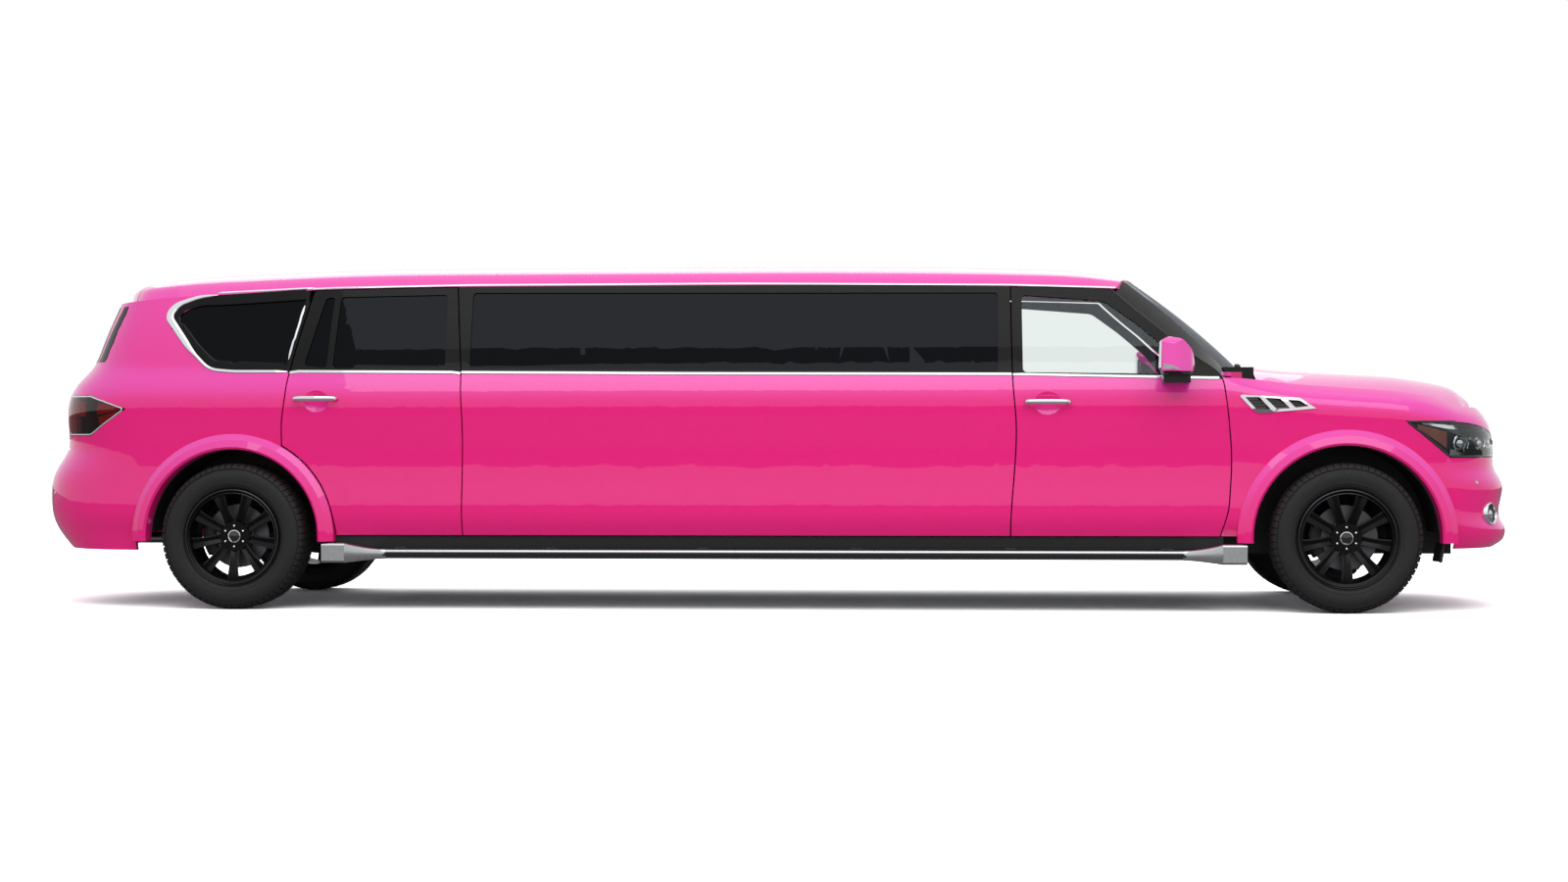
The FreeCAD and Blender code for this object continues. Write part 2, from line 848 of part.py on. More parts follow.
def upward(points, z0, z1, radius=0.0):
    """Prism along Z of an outline given as (x, y) points."""
    face = Part.Face(outline_wire(points, radius))
    face.rotate(V(0, 0, 0), V(1, 0, 0), -90)
    face.translate(V(0, 0, z0))
    return face.extrude(V(0, 0, z1 - z0))


def trapezoid(foot_half, foot_z, top_half, top_z, x0, x1, radius=0.0):
    points = [(-foot_half, foot_z), (foot_half, foot_z), (top_half, top_z), (-top_half, top_z)]
    return along_x(points, x0, x1, radius)


# Sides: doors, stretch and their glass


def arch_cut(x, radius, y0=None):
    """What a wheel opening takes away on the left, from y0 outwards."""
    low = liner_inner_y if y0 is None else y0
    wheel = wheel_cylinder(x, radius, low, skin_half_width + overrun * 2)
    below = box(x - radius, x + radius, low, skin_half_width + overrun * 2, 0, tyre_radius)
    return wheel.fuse(below)


def side_wall():
    """Left side wall of the whole door zone, up to the roof."""
    wall = side_layer(rear_door_rear_x - overrun, front_door_front_x + overrun,
                      0.0, frame_thickness, door_thickness)
    zone = box(rear_door_rear_x - overrun, front_door_front_x + overrun, 0,
               skin_half_width * 2, sill_height, roof_height)
    return wall.common(zone)


def side_glass_layer():
    """Sheet of glass on the left, the whole length of the glasshouse."""
    outer, inner = [], []
    for level in levels(glasshouse_foot_share, glasshouse_top_share):
        y, z = skin_y(level), height_at(level)
        stations = (rear_door_rear_x - overrun, 0.0, front_door_front_x + overrun)
        outer.append([V(x, y - glass_inset, z) for x in stations])
        inner.append([V(x, y - glass_inset - glass_thickness, z) for x in stations])
    return sheet_solid(outer, inner)


def rabbet_layer():
    """All that lies behind the outer skin of the side wall."""
    return side_layer(rear_door_rear_x - overrun, front_door_front_x + overrun, door_skin_thickness,
                      frame_thickness + overrun, door_thickness + overrun)


def cup(x, z):
    """Round hollow that a hand reaches into, in the skin of a left door."""
    radius = (cup_radius ** 2 + cup_depth ** 2) / (2 * cup_depth)
    return Part.makeSphere(radius, V(x, skin_y(level_at(z)) + radius - cup_depth, z))


def front_handle_place():
    return front_door_rear_x + front_door_length * front_handle_share, front_handle_height


def rear_handle_place():
    return rear_door_rear_x + rear_door_length * rear_handle_share, rear_handle_height


def door_handle(x, z):
    """Pull handle of a left door: a bar whose two feet reach into the door."""
    half = handle_length / 2
    inner = half - handle_foot_length
    reach = handle_reach - handle_thickness
    points = [(-half, -handle_foot_depth), (-half, handle_reach), (half, handle_reach),
              (half, -handle_foot_depth), (inner, -handle_foot_depth), (inner, reach),
              (-inner, reach), (-inner, -handle_foot_depth)]
    bar = across(outline_wire(points, handle_thickness), -handle_height / 2, handle_height / 2)
    bar.rotate(V(0, 0, 0), V(1, 0, 0), -90)
    bar.translate(V(x, skin_y(level_at(z)), z))
    return bar


def front_door(wall, rabbet):
    """Left front door. Its rear edge is stepped back behind the skin."""
    zone = between_seams(middle_seam(panel_gap / 2), front_seam(-panel_gap / 2))
    cap = under_drip(front_door_rear_x - overrun, front_door_front_x + overrun, panel_gap, 0)
    door = wall.common(zone).common(cap)
    step = between_seams(middle_seam(-overrun), middle_seam(panel_gap / 2 + door_rabbet))
    door = door.cut(rabbet.common(step)).cut(cup(*front_handle_place()))
    return door.cut(window_prism(*windows["front"]))


def rear_door(wall, rabbet):
    """Left rear door, stepped back along its rear edge and the wheel opening."""
    zone = between_seams(rear_seam(panel_gap / 2 + swing_gap), lounge_seam(-panel_gap / 2))
    cap = under_drip(rear_door_rear_x - overrun, rear_door_front_x + overrun, panel_gap, 0)
    door = wall.common(zone).common(cap)
    flare_end = rear_arch_radius + flare_width + panel_gap + swing_gap * 2
    door = door.cut(arch_cut(rear_axle_x, flare_end))
    step = between_seams(rear_seam(-overrun), rear_seam(panel_gap / 2 + door_rabbet))
    door = door.cut(rabbet.common(step)).cut(rabbet.common(arch_cut(rear_axle_x, flare_end + door_rabbet)))
    door = door.cut(cup(*rear_handle_place()))
    return door.cut(window_prism(*windows["rear"])).cut(window_prism(*windows["vent"]))


def stretch_panel(wall):
    zone = between_seams(lounge_seam(panel_gap / 2), middle_seam(-panel_gap / 2))
    cap = under_drip(rear_door_front_x - overrun * 2, front_door_rear_x + overrun, seat_gap, 0)
    return wall.common(zone).common(cap).cut(window_prism(*windows["stretch"]))


# Front end


def flare(x, arch_radius):
    """Raised band round the left wheel opening."""
    profile = [
        (arch_radius, flare_half_width - flare_lip * 5), (arch_radius, flare_half_width - flare_lip),
        (arch_radius + flare_lip, flare_half_width),
        (arch_radius + flare_width * 0.6, flare_half_width - flare_lip),
        (arch_radius + flare_width, flare_half_width - flare_lip * 3),
        (arch_radius + flare_width, flare_half_width - flare_lip * 5 - flare_root),
        (arch_radius, flare_half_width - flare_lip * 5 - flare_root),
    ]
    ring = revolved(profile, x)
    reach = arch_radius + flare_width + overrun
    return ring.cut(box(x - reach, x + reach, 0, skin_half_width * 2, -reach, flare_foot_height))


def flare_cylinder(x, arch_radius):
    """All that lies inside a flare's outer edge, with its gap."""
    radius = arch_radius + flare_width + seat_gap
    return wheel_cylinder(x, radius, 0, skin_half_width + overrun)


def headlamp_prism():
    """Side outline of a headlamp: a pointed tip that runs round to the front."""
    top = grille_top_height - grille_bar
    points = [
        (clip_split_x - lamp_tip_reach, top), (clip_split_x + lamp_foot_reach, bumper_seam_height),
        (front_x + overrun, bumper_seam_height), (front_x + overrun, top),
    ]
    return through(outline_wire(points))


def bumper_prism(gap):
    low = bumper_bottom - overrun
    points = [(clip_split_x, low), (front_x + overrun, low),
              (front_x + overrun, bumper_seam_height - gap), (clip_split_x, bumper_seam_height - gap)]
    return through(outline_wire(points))


def grille_opening(shrink):
    return trapezoid(grille_foot_half - shrink, grille_foot_height + shrink,
                     grille_top_half - shrink, grille_top_height + overrun,
                     front_axle_x, front_x + overrun)


def front_door_side(shift):
    """All that lies on the front door's side of its front seam, moved by shift."""
    return between_seams(front_seam(-front_door_length / 3), front_seam(shift))


def vent_prism(shares, radius=0.0):
    """Prism of an outline on the fender, given in shares."""
    points = [(mix(front_door_front_x, front_x, a), belt_height * b) for a, b in shares]
    return through(outline_wire(points, radius))


def vent_frame():
    """Bright frame on the left fender, with two bars between three openings."""
    frame = nose_layer(-vent_height, -seat_gap).common(vent_prism(vent_shares, vent_corner))
    for opening in vent_opening_shares:
        frame = frame.cut(vent_prism(opening, vent_corner))
    return max(frame.Solids, key=lambda s: s.CenterOfMass.y)


def fender(shell):
    """Left fender with its flare, from the door to the lamp and the hood line."""
    body = shell.common(box(front_door_rear_x, front_x + overrun, side_cut_y,
                            skin_half_width * 2, bumper_bottom - overrun, roof_height))
    body = body.cut(front_door_side(panel_gap / 2)).cut(grille_opening(-seat_gap))
    body = body.cut(headlamp_prism()).cut(bumper_prism(0.0))
    body = body.cut(box(front_door_rear_x, front_axle_x, 0, skin_half_width * 2, 0, sill_height))
    body = body.cut(wheel_cylinder(front_axle_x, front_arch_radius + flare_width / 2, 0,
                                   skin_half_width * 2))
    body = biggest(body.cut(arch_cut(front_axle_x, front_arch_radius)))
    pocket = nose_layer(-vent_height, vent_pocket)
    for opening in vent_opening_shares:
        body = body.cut(pocket.common(vent_prism(opening, vent_corner)))
    return fused(biggest(body), flare(front_axle_x, front_arch_radius))


def biggest(shape):
    return max(shape.Solids, key=lambda s: s.Volume)


def front_bumper(shell):
    body = shell.common(bumper_prism(seat_gap)).cut(grille_opening(-seat_gap))
    for part in (flare_cylinder(front_axle_x, front_arch_radius), intake_prism(0.0), fog_lamp(seat_gap)):
        body = body.cut(part).cut(mirrored(part))
    return biggest(body)


def intake_prism(shrink):
    return trapezoid(intake_half_width - shrink, intake_foot_height + shrink,
                     intake_half_width - shrink, intake_top_height - shrink,
                     front_axle_x, front_x + overrun)


def fog_lamp(grow):
    """Left fog lamp: a short drum behind a bright ring."""
    x = front_x - fog_lamp_set_back
    return Part.makeCylinder(fog_lamp_radius + grow, fog_lamp_depth,
                             V(x, fog_lamp_y, fog_lamp_height), V(1, 0, 0))


def front_lamps():
    shell = nose_layer(0.0, lamp_depth)
    lamp = shell.common(headlamp_prism()).cut(grille_opening(-seat_gap))
    trim = box(front_axle_x, front_x + overrun, 0, skin_half_width * 2, bumper_seam_height + seat_gap,
               grille_top_height - grille_bar - seat_gap)
    lamp = biggest(lamp.common(trim))
    drum = biggest(fog_lamp(0.0).common(nose_layer(lamp_recess, fog_lamp_depth)))
    return Part.makeCompound([lamp, mirrored(lamp), drum, mirrored(drum)])


def grille():
    """Bright frame with bars and fins behind it, bent to the nose."""
    zone = grille_opening(seat_gap)
    hole = trapezoid(grille_foot_half - grille_frame, grille_foot_height + grille_frame,
                     grille_top_half - grille_frame, grille_top_height - grille_bar,
                     front_axle_x, front_x + overrun)
    frame = nose_layer(0.0, grille_depth).common(zone).cut(hole)
    bars = nose_layer(grille_bar / 2, grille_depth - grille_bar).common(hole)
    slats = []
    pitch = (grille_top_height - grille_foot_height) / (grille_bar_count + 1)
    for i in range(1, grille_bar_count + 1):
        z = grille_foot_height + pitch * i
        slats.append(box(front_axle_x, front_x + overrun, -grille_top_half, grille_top_half,
                         z - grille_bar / 2, z + grille_bar / 2))
    step = 2 * grille_top_half / (grille_fin_count + 1)
    for i in range(1, grille_fin_count + 1):
        y = step * i - grille_top_half
        slats.append(box(front_axle_x, front_x + overrun, y - grille_fin, y + grille_fin,
                         grille_foot_height, grille_top_height))
    lattice = bars.common(slats[0].fuse(slats[1:]))
    upper = biggest(frame.fuse(lattice).cut(hood_column(hood_gap, grille_top_height - grille_bar)))
    lower = nose_layer(lamp_recess, fender_rim).common(intake_prism(seat_gap))
    return Part.makeCompound([upper, biggest(lower)])


def hood_slab(thickness):
    """Crowned sheet over the whole engine bay."""
    outer, inner = [], []
    steps = 30
    side = hood_half_width(front_axle_x) + hood_gap
    for i in range(steps + 1):
        x = mix(hood_rear_x, front_x - fender_rim, i / steps)
        row = [V(x, y, hood_z(x, y)) for y in (mix(-side, side, k / steps) for k in range(steps + 1))]
        outer.append(row)
        inner.append([p - V(0, 0, thickness) for p in row])
    return sheet_solid(outer, inner)


def hood_column(grow, foot):
    """Upright prism of the hood's rounded plan, from foot upwards."""
    end = front_axle_x + front_overhang * nose_shares[-1][1] - fender_rim - hood_gap
    plan = end_outline(hood_half_width(front_axle_x) + grow, hood_rear_x,
                       front_x - nose_round_length, end + grow, nose_power_share)
    points = [V(x, y, foot) for x, y in plan]
    edges = [spline_edge(points), Part.makeLine(points[-1], points[0])]
    return Part.Face(Part.Wire(edges)).extrude(V(0, 0, roof_height))


def hood():
    """Crowned slab between the fenders, cut to the nose's rounded plan."""
    return biggest(hood_slab(hood_thickness).common(hood_column(0.0, 0.0)))


# Windshield, pillars and cowl


def roof_z(x, y):
    low = drip_z(x)
    share = (1 - clamp_share(abs(y) / roof_half_width(x)) ** roof_power_share) ** (1 / roof_power_share)
    return low + (crown_z(x) - low) * share


def windshield_point(y_share, t):
    """Outer face of the windshield: t runs from its top to its foot."""
    top_y = y_share * windshield_top_half
    foot_y = y_share * windshield_foot_half
    top_x = header_x(roof_front_x, top_y)
    top = V(top_x + panel_gap / 2, top_y, roof_z(top_x, top_y) - glass_thickness)
    foot = V(windshield_foot_x - windshield_foot_bow * y_share ** 2, foot_y,
             windshield_foot_height - windshield_foot_drop * y_share ** 2)
    lean = windshield_bulge * 4 * t * (1 - t)
    return top + (foot - top) * t + V(lean, 0, lean)


def windshield_rows(offset):
    steps = 14
    return [[windshield_point(mix(-1, 1, k / steps), i / steps) + offset for k in range(steps + 1)]
            for i in range(steps + 1)]


def windshield():
    inward = V(-glass_thickness * 0.6, 0, -glass_thickness * 0.8)
    return sheet_solid(windshield_rows(V(0, 0, 0)), windshield_rows(inward))


def windshield_zone():
    """The glass and all that lies in front of it."""
    inward = V(-glass_thickness * 0.6, 0, -glass_thickness * 0.8)
    ahead = V(cowl_depth * 3, 0, cowl_depth * 2)
    return sheet_solid(windshield_rows(ahead), windshield_rows(inward))


def front_pillar():
    """Left pillar between the windshield's edge and the front door."""
    outer, inner = [], []
    steps = 10
    for i in range(steps + 1):
        t = i / steps
        foot = windshield_foot_height - windshield_foot_drop - pillar_thickness / 2
        z = mix(drip_z(roof_front_x) + pillar_thickness / 2, foot, t)
        level = level_at(z)
        door_x = front_door_rear_x + front_door_length * along(front_seam_shares, level) - pillar_thickness
        door_edge = V(door_x, skin_y(level), z)
        glass_edge = windshield_point(1, t) + V(0, seat_gap, 0)
        middle = (door_edge + glass_edge) * 0.5 + V(pillar_thickness / 4, pillar_thickness / 4, 0)
        outer.append([door_edge, middle, glass_edge])
        drop = V(-pillar_thickness / 2, -pillar_thickness / 4, -pillar_thickness / 2)
        inner.append([door_edge - V(0, pillar_thickness, 0),
                      (door_edge + glass_edge) * 0.5 + drop - V(0, pillar_thickness / 2, 0),
                      glass_edge + drop])
    return sheet_solid(outer, inner)


def windshield_frame(roof, fenders):
    """Two front pillars and the cowl under the windshield's foot."""
    foot = windshield_foot_height - cowl_drop
    cowl = box(windshield_foot_x - cowl_depth * 1.5, hood_rear_x - panel_gap, -windshield_foot_half,
               windshield_foot_half, foot, windshield_foot_height - panel_gap)
    cowl = biggest(cowl.cut(windshield_zone()).cut(fenders))
    pillar = front_pillar().cut(front_door_side(pillar_seam_gap)).cut(roof).cut(fenders).cut(cowl)
    pillar = biggest(pillar.cut(windshield_zone()))
    return Part.makeCompound([cowl, pillar, mirrored(pillar)])


# Rear end


def tailgate_prism(grow):
    """Outline of the tailgate seen from behind."""
    left = []
    for level_share, half_share in tailgate_half_shares:
        z = mix(rear_bumper_height, drip_height, level_share)
        left.append((skin_half_width * half_share + grow, z))
    left = [(left[0][0] + grow, rear_bumper_height - overrun)] + left
    left.append((spoiler_half_width + grow, roof_height))
    points = left + [(-y, z) for y, z in reversed(left)]
    return along_x(points, rear_axle_x - rear_overhang - overrun, roof_seam_x)


def tail_window(shrink, radius):
    return trapezoid(tail_window_foot_half - shrink, tail_window_foot + shrink,
                     tail_window_top_half - shrink, tail_window_top - shrink,
                     rear_axle_x - rear_overhang - overrun, roof_seam_x, radius)


def tailgate(shell, roof_slab):
    leaf = shell.common(tailgate_prism(0.0)).common(under_roof(0.0))
    leaf = leaf.cut(tail_window(0.0, tail_window_corner))
    leaf = leaf.common(box(rear_axle_x - rear_overhang - overrun, roof_seam_x - panel_gap,
                           -skin_half_width, skin_half_width, rear_bumper_height + panel_gap, roof_height))
    spoiler = roof_slab.common(box(spoiler_tip_x - overrun, roof_seam_x - panel_gap,
                                   -spoiler_half_width, spoiler_half_width, 0, roof_height))
    back = rear_axle_x - rear_overhang - overrun
    for y in (-plate_hole_spacing / 2, plate_hole_spacing / 2):
        leaf = leaf.cut(rod(V(back, y, plate_height), V(roof_seam_x, y, plate_height), plate_hole_radius))
    return biggest(fused(biggest(leaf), spoiler))


def tailgate_glass():
    return biggest(tail_layer(glass_inset, glass_inset + glass_thickness, glass_inset + glass_thickness)
                   .common(tail_window(seat_gap, tail_window_corner)))


def rear_bumper_prism(gap):
    back = rear_axle_x - rear_overhang - overrun
    low = bumper_bottom - overrun
    top = rear_bumper_height - gap
    points = [
        (rear_axle_x - rear_arch_radius + flare_width, low), (back, low), (back, top),
        (rear_bumper_knee_x, top),
        (rear_axle_x - rear_arch_radius - flare_width / 2, top - rear_bumper_drop),
        (rear_axle_x - rear_arch_radius + flare_width, top - rear_bumper_drop),
    ]
    return through(outline_wire(points))


def rear_bumper(shell):
    body = shell.common(rear_bumper_prism(seat_gap))
    cut = flare_cylinder(rear_axle_x, rear_arch_radius)
    return biggest(body.cut(cut).cut(mirrored(cut)))


def tail_lamp_prism():
    """Left tail lamp seen from the side: a leaf shape with its tip forward."""
    back = rear_axle_x - rear_overhang - overrun
    points = [
        (tail_lamp_tip_x, tail_lamp_tip_height), (tail_lamp_tip_x - tail_lamp_reach, tail_lamp_top),
        (back, tail_lamp_top), (back, tail_lamp_foot), (tail_lamp_tip_x - tail_lamp_reach, tail_lamp_foot),
    ]
    return through(outline_wire(points))


def tail_lamps():
    zone = box(rear_axle_x - rear_overhang - overrun, rear_axle_x, tail_lamp_inner_half + seat_gap,
               skin_half_width * 2, tail_lamp_foot + seat_gap, tail_lamp_top - seat_gap)
    lamp = biggest(tail_layer(0.0, lamp_depth, lamp_depth).common(tail_lamp_prism()).common(zone))
    return Part.makeCompound([lamp, mirrored(lamp)])


def quarter_panel(shell, roof):
    """Left rear quarter with its flare, from the rear door round to the tailgate."""
    body = shell.common(box(rear_axle_x - rear_overhang - overrun, rear_door_front_x,
                            side_cut_y, skin_half_width * 2, sill_height - overrun,
                            roof_height))
    ahead = between_seams(rear_seam(-panel_gap / 2), rear_seam(overrun * 6))
    body = body.cut(ahead)
    body = body.common(under_roof(seat_gap))
    body = body.cut(tailgate_prism(panel_gap)).cut(rear_bumper_prism(0.0))
    lamp_zone = box(rear_axle_x - rear_overhang - overrun, rear_axle_x, tail_lamp_inner_half - panel_gap,
                    skin_half_width * 2, tail_lamp_foot, tail_lamp_top)
    body = body.cut(tail_lamp_prism().common(lamp_zone))
    body = body.cut(window_prism(*windows["quarter"]))
    body = body.cut(wheel_cylinder(rear_axle_x, rear_arch_radius + flare_width / 2, 0, skin_half_width * 2))
    body = biggest(body.cut(arch_cut(rear_axle_x, rear_arch_radius)).cut(roof))
    return fused(body, flare(rear_axle_x, rear_arch_radius))


# Floor, frame and running gear


def wheel_liner(x, arch_radius):
    """Left wheel house: half a drum over the wheel with a wall on its inner side."""
    outer = arch_radius - seat_gap
    shell_end = flare_half_width - flare_root - flare_lip * 5
    drum = wheel_cylinder(x, outer, liner_inner_y, shell_end)
    hollow = wheel_cylinder(x, outer - liner_thickness, liner_inner_y + liner_thickness,
                            shell_end + overrun)
    low = box(x - outer, x + outer, 0, skin_half_width, -outer, liner_foot_height)
    notch = wheel_cylinder(x, axle_tube_radius * 2, 0, liner_inner_y + overrun)
    return drum.cut(hollow).cut(low).cut(notch)


def floor_pan():
    """Cabin floor with its sills, the firewall and the raised cargo floor."""
    top = floor_height + floor_thickness
    cargo_top = cargo_height + floor_thickness
    inner_face = skin_y(0.0) - door_thickness - seat_gap
    cabin = box(cargo_front_x, firewall_x, -inner_face, inner_face, floor_height, top)
    pieces = []
    sill_front = front_door_front_x - panel_thickness
    sill_rear = rear_axle_x + rear_arch_radius + flare_width + seat_gap
    wall = side_layer(rear_door_rear_x - overrun, front_door_front_x + overrun, 0.0,
                      frame_thickness + seat_gap, door_thickness + seat_gap)
    lip = box(sill_rear, sill_front, inner_face - sill_width, skin_half_width,
              sill_height - panel_gap, top).cut(wall)
    lip = min(lip.Solids, key=lambda s: s.CenterOfMass.y)
    pieces += [lip, mirrored(lip)]
    for side in (-1, 1):
        near, far = sorted((side * (inner_face - sill_width), side * skin_y(0.0)))
        pieces.append(box(sill_rear, sill_front, near, far, bumper_bottom, sill_height - panel_gap))
    pieces.append(box(firewall_x - floor_thickness, firewall_x, -firewall_half_width,
                      firewall_half_width, floor_height, windshield_foot_height - cowl_drop))
    back = rear_axle_x - rear_overhang * along(tail_shares, level_at(cargo_height)) + door_thickness
    pieces.append(box(cargo_front_x, cargo_front_x + floor_thickness, -floor_half_width,
                      floor_half_width, floor_height, cargo_top))
    return fused(cabin, *pieces, cargo_floor(back))


def cargo_floor(back):
    """Raised floor with a post that the closed tailgate rests against."""
    slab = box(back, cargo_front_x + floor_thickness, -liner_inner_y + seat_gap,
               liner_inner_y - seat_gap, cargo_height, cargo_height + floor_thickness)
    post = box(rear_axle_x - rear_overhang, back + striker_width, -striker_width / 2, striker_width / 2,
               cargo_height, rear_bumper_height + striker_height)
    shell = tail_layer(0.0, frame_thickness + seat_gap, panel_thickness + seat_gap)
    return max(slab.fuse(post).cut(shell).Solids, key=lambda s: s.CenterOfMass.x)


def rail_points():
    """Side outline of a frame rail, kicked up over the rear axle."""
    front = front_axle_x + front_rail_reach
    back = rear_axle_x - rear_overhang
    kick_front = rear_axle_x + rail_kick_reach
    kick_back = rear_axle_x - rail_kick_reach
    slope = rail_kick
    top, low = rail_foot + rail_height, rail_foot
    return [
        (front, low), (front, top), (kick_front + slope, top), (kick_front, top + rail_kick),
        (kick_back, top + rail_kick), (kick_back - slope, top + rail_kick / 2),
        (back, top + rail_kick / 2), (back, low + rail_kick / 2), (kick_back - slope, low + rail_kick / 2),
        (kick_back, low + rail_kick), (kick_front, low + rail_kick), (kick_front + slope, low),
    ]


def rear_member_x():
    """Front face of the crossmember behind the rear axle."""
    return rear_axle_x - rail_kick_reach - rail_kick - crossmember_width


def chassis_frame(front_shell, rear_shell):
    """Ladder frame: two rails, crossmembers and the hood's rest at the front."""
    rail = across(outline_wire(rail_points()), rail_y - rail_width / 2, rail_y + rail_width / 2)
    horn = box(front_axle_x, front_x, rail_y - rail_width / 2, rail_y + rail_width / 2,
               bumper_bottom + rail_end_gap, rail_foot + rail_height)
    pieces = [mirrored(rail), horn, mirrored(horn)]
    for x in (front_axle_x + crossmember_reach, front_axle_x - crossmember_reach,
              front_door_rear_x, rear_door_front_x):
        pieces.append(box(x - crossmember_width / 2, x + crossmember_width / 2, -rail_y, rail_y,
                          rail_foot, rail_foot + crossmember_height))
    front = rear_member_x()
    pieces.append(box(front - crossmember_width, front, -rail_y, rail_y, rail_foot + rail_kick / 2,
                      rail_foot + rail_kick / 2 + crossmember_height))
    rest_x = front_axle_x + crossmember_reach
    rest = box(rest_x - hood_rest / 2, rest_x + hood_rest / 2, -hood_rest / 2, hood_rest / 2,
               rail_foot, roof_height).cut(hood_slab(hood_thickness + seat_gap))
    pieces.append(min(rest.Solids, key=lambda s: s.CenterOfMass.z))
    return biggest(rail.fuse(pieces).cut(front_shell).cut(rear_shell)).removeSplitter()


def engine_block():
    foot = rail_foot + crossmember_height
    back = firewall_x + engine_set_back
    block = box(back, back + engine_length, -engine_width / 2, engine_width / 2, foot, foot + engine_height)
    return block.makeChamfer(rail_width / 2, block.Edges)


def taper_arm(y0, y1, half0, half1, z0, z1, x):
    """Flat control arm, wide at the frame and narrow at the wheel."""
    points = [V(x - half0, y0, z0), V(x + half0, y0, z0), V(x + half1, y1, z0), V(x - half1, y1, z0)]
    return Part.Face(Part.makePolygon(points + points[:1])).extrude(V(0, 0, z1 - z0))


def front_suspension():
    """Control arms with a coil spring between them, on both sides."""
    inner = rail_y + rail_width / 2
    low = knuckle_foot_height - seat_gap
    high = knuckle_top_height + seat_gap
    lower = taper_arm(inner, kingpin_y + knuckle_radius, arm_span, knuckle_radius, low - arm_thickness,
                      low, front_axle_x)
    spring_y = mix(inner, kingpin_y, spring_share)
    upper = taper_arm(spring_y, kingpin_y + knuckle_radius, knuckle_radius * 2, knuckle_radius, high,
                      high + arm_thickness, front_axle_x)
    spring = rod(V(front_axle_x, spring_y, low - arm_thickness / 2),
                 V(front_axle_x, spring_y, high + spring_radius * 2), spring_radius)
    arm = fused(lower, upper, spring)
    return Part.makeCompound([arm, mirrored(arm)])


def knuckle():
    """Left steering knuckle: an upright on the kingpin axis and its spindle."""
    upright = rod(V(front_axle_x, kingpin_y, knuckle_foot_height),
                  V(front_axle_x, kingpin_y, knuckle_top_height), knuckle_radius)
    spindle = rod(V(front_axle_x, kingpin_y - knuckle_radius / 2, tyre_radius),
                  V(front_axle_x, hub_face_y - seat_gap, tyre_radius), spindle_radius)
    return fused(upright, spindle)


def rear_axle():
    """Axle tube with its differential, trailing arms and coil springs."""
    reach = hub_face_y - seat_gap
    tube = rod(V(rear_axle_x, -reach, tyre_radius), V(rear_axle_x, reach, tyre_radius), axle_tube_radius)
    banjo = Part.makeSphere(banjo_radius, V(rear_axle_x, 0, tyre_radius))
    pieces = [banjo]
    for side in (-1, 1):
        pieces.append(rod(V(rear_axle_x, side * rail_y, tyre_radius),
                          V(rear_axle_x, side * rail_y, rail_foot + rail_kick), spring_radius))
    return fused(tube, *pieces)


def running_board():
    """Left step: a bar with thicker ends, hung under the sill on brackets."""
    profile = [(running_board_inner, running_board_foot), (running_board_outer, running_board_foot),
               (running_board_outer, running_board_top), (running_board_inner, running_board_top)]
    rounding = (running_board_top - running_board_foot) / 3
    bar = along_x(profile, running_board_rear_x, running_board_front_x, rounding)
    step_y = skin_y(0.0) + panel_gap
    thick = [(running_board_inner, board_end_foot), (board_end_outer, board_end_foot),
             (board_end_outer, board_end_top), (step_y, board_end_top),
             (step_y, running_board_top), (running_board_inner, running_board_top)]
    pieces = []
    for x in (running_board_rear_x, running_board_front_x - board_end_length):
        pieces.append(along_x(thick, x, x + board_end_length, rounding))
    count = 6
    for i in range(count):
        x = mix(running_board_rear_x, running_board_front_x, (i + 0.5) / count)
        pieces.append(box(x - board_bracket / 2, x + board_bracket / 2, running_board_inner,
                          running_board_inner + board_bracket, running_board_foot, bumper_bottom))
    return fused(bar, *pieces)


def exhaust():
    """Exhaust pipe with its silencer, along the right side of the shaft."""
    low = rail_foot + crossmember_height + exhaust_radius
    high = rail_foot + rail_kick + exhaust_radius
    y = -exhaust_y
    stops = [
        V(firewall_x + engine_set_back, y, low), V(cargo_front_x - exhaust_radius, y, low),
        V(rear_axle_x + rail_kick_reach, y, high), V(rear_axle_x - rail_kick_reach, y, high),
        V(rear_member_x() + exhaust_radius, y, low), V(rear_member_x() - tail_pipe_length, y, low),
    ]
    pieces = [rod(a, b, exhaust_radius) for a, b in zip(stops, stops[1:])]
    pieces += [Part.makeSphere(exhaust_radius, s) for s in stops[1:-1]]
    start = V(0, y, low)
    pieces.append(rod(start, start - V(muffler_length, 0, 0), muffler_radius))
    return fused(*pieces)


def fuel_tank():
    x = rear_door_front_x
    tank = box(x - tank_length, x - crossmember_width, exhaust_radius * 2, rail_y - rail_width / 2,
               floor_height - tank_height, floor_height)
    corners = [e for e in tank.Edges if abs(e.tangentAt(e.FirstParameter).z) > 0.9]
    return tank.makeFillet(tank_height / 6, corners)


def driveshaft():
    """Propeller shaft from the engine to the rear axle."""
    back = V(rear_axle_x + banjo_radius, 0, tyre_radius)
    front = V(firewall_x + engine_set_back, 0, floor_height - shaft_radius * 1.5)
    tube = rod(front, back, shaft_radius)
    return tube.cut(Part.makeSphere(banjo_radius, V(rear_axle_x, 0, tyre_radius))).common(
        box(back.x - overrun, front.x, -overrun, overrun, 0, roof_height))


# Wheels


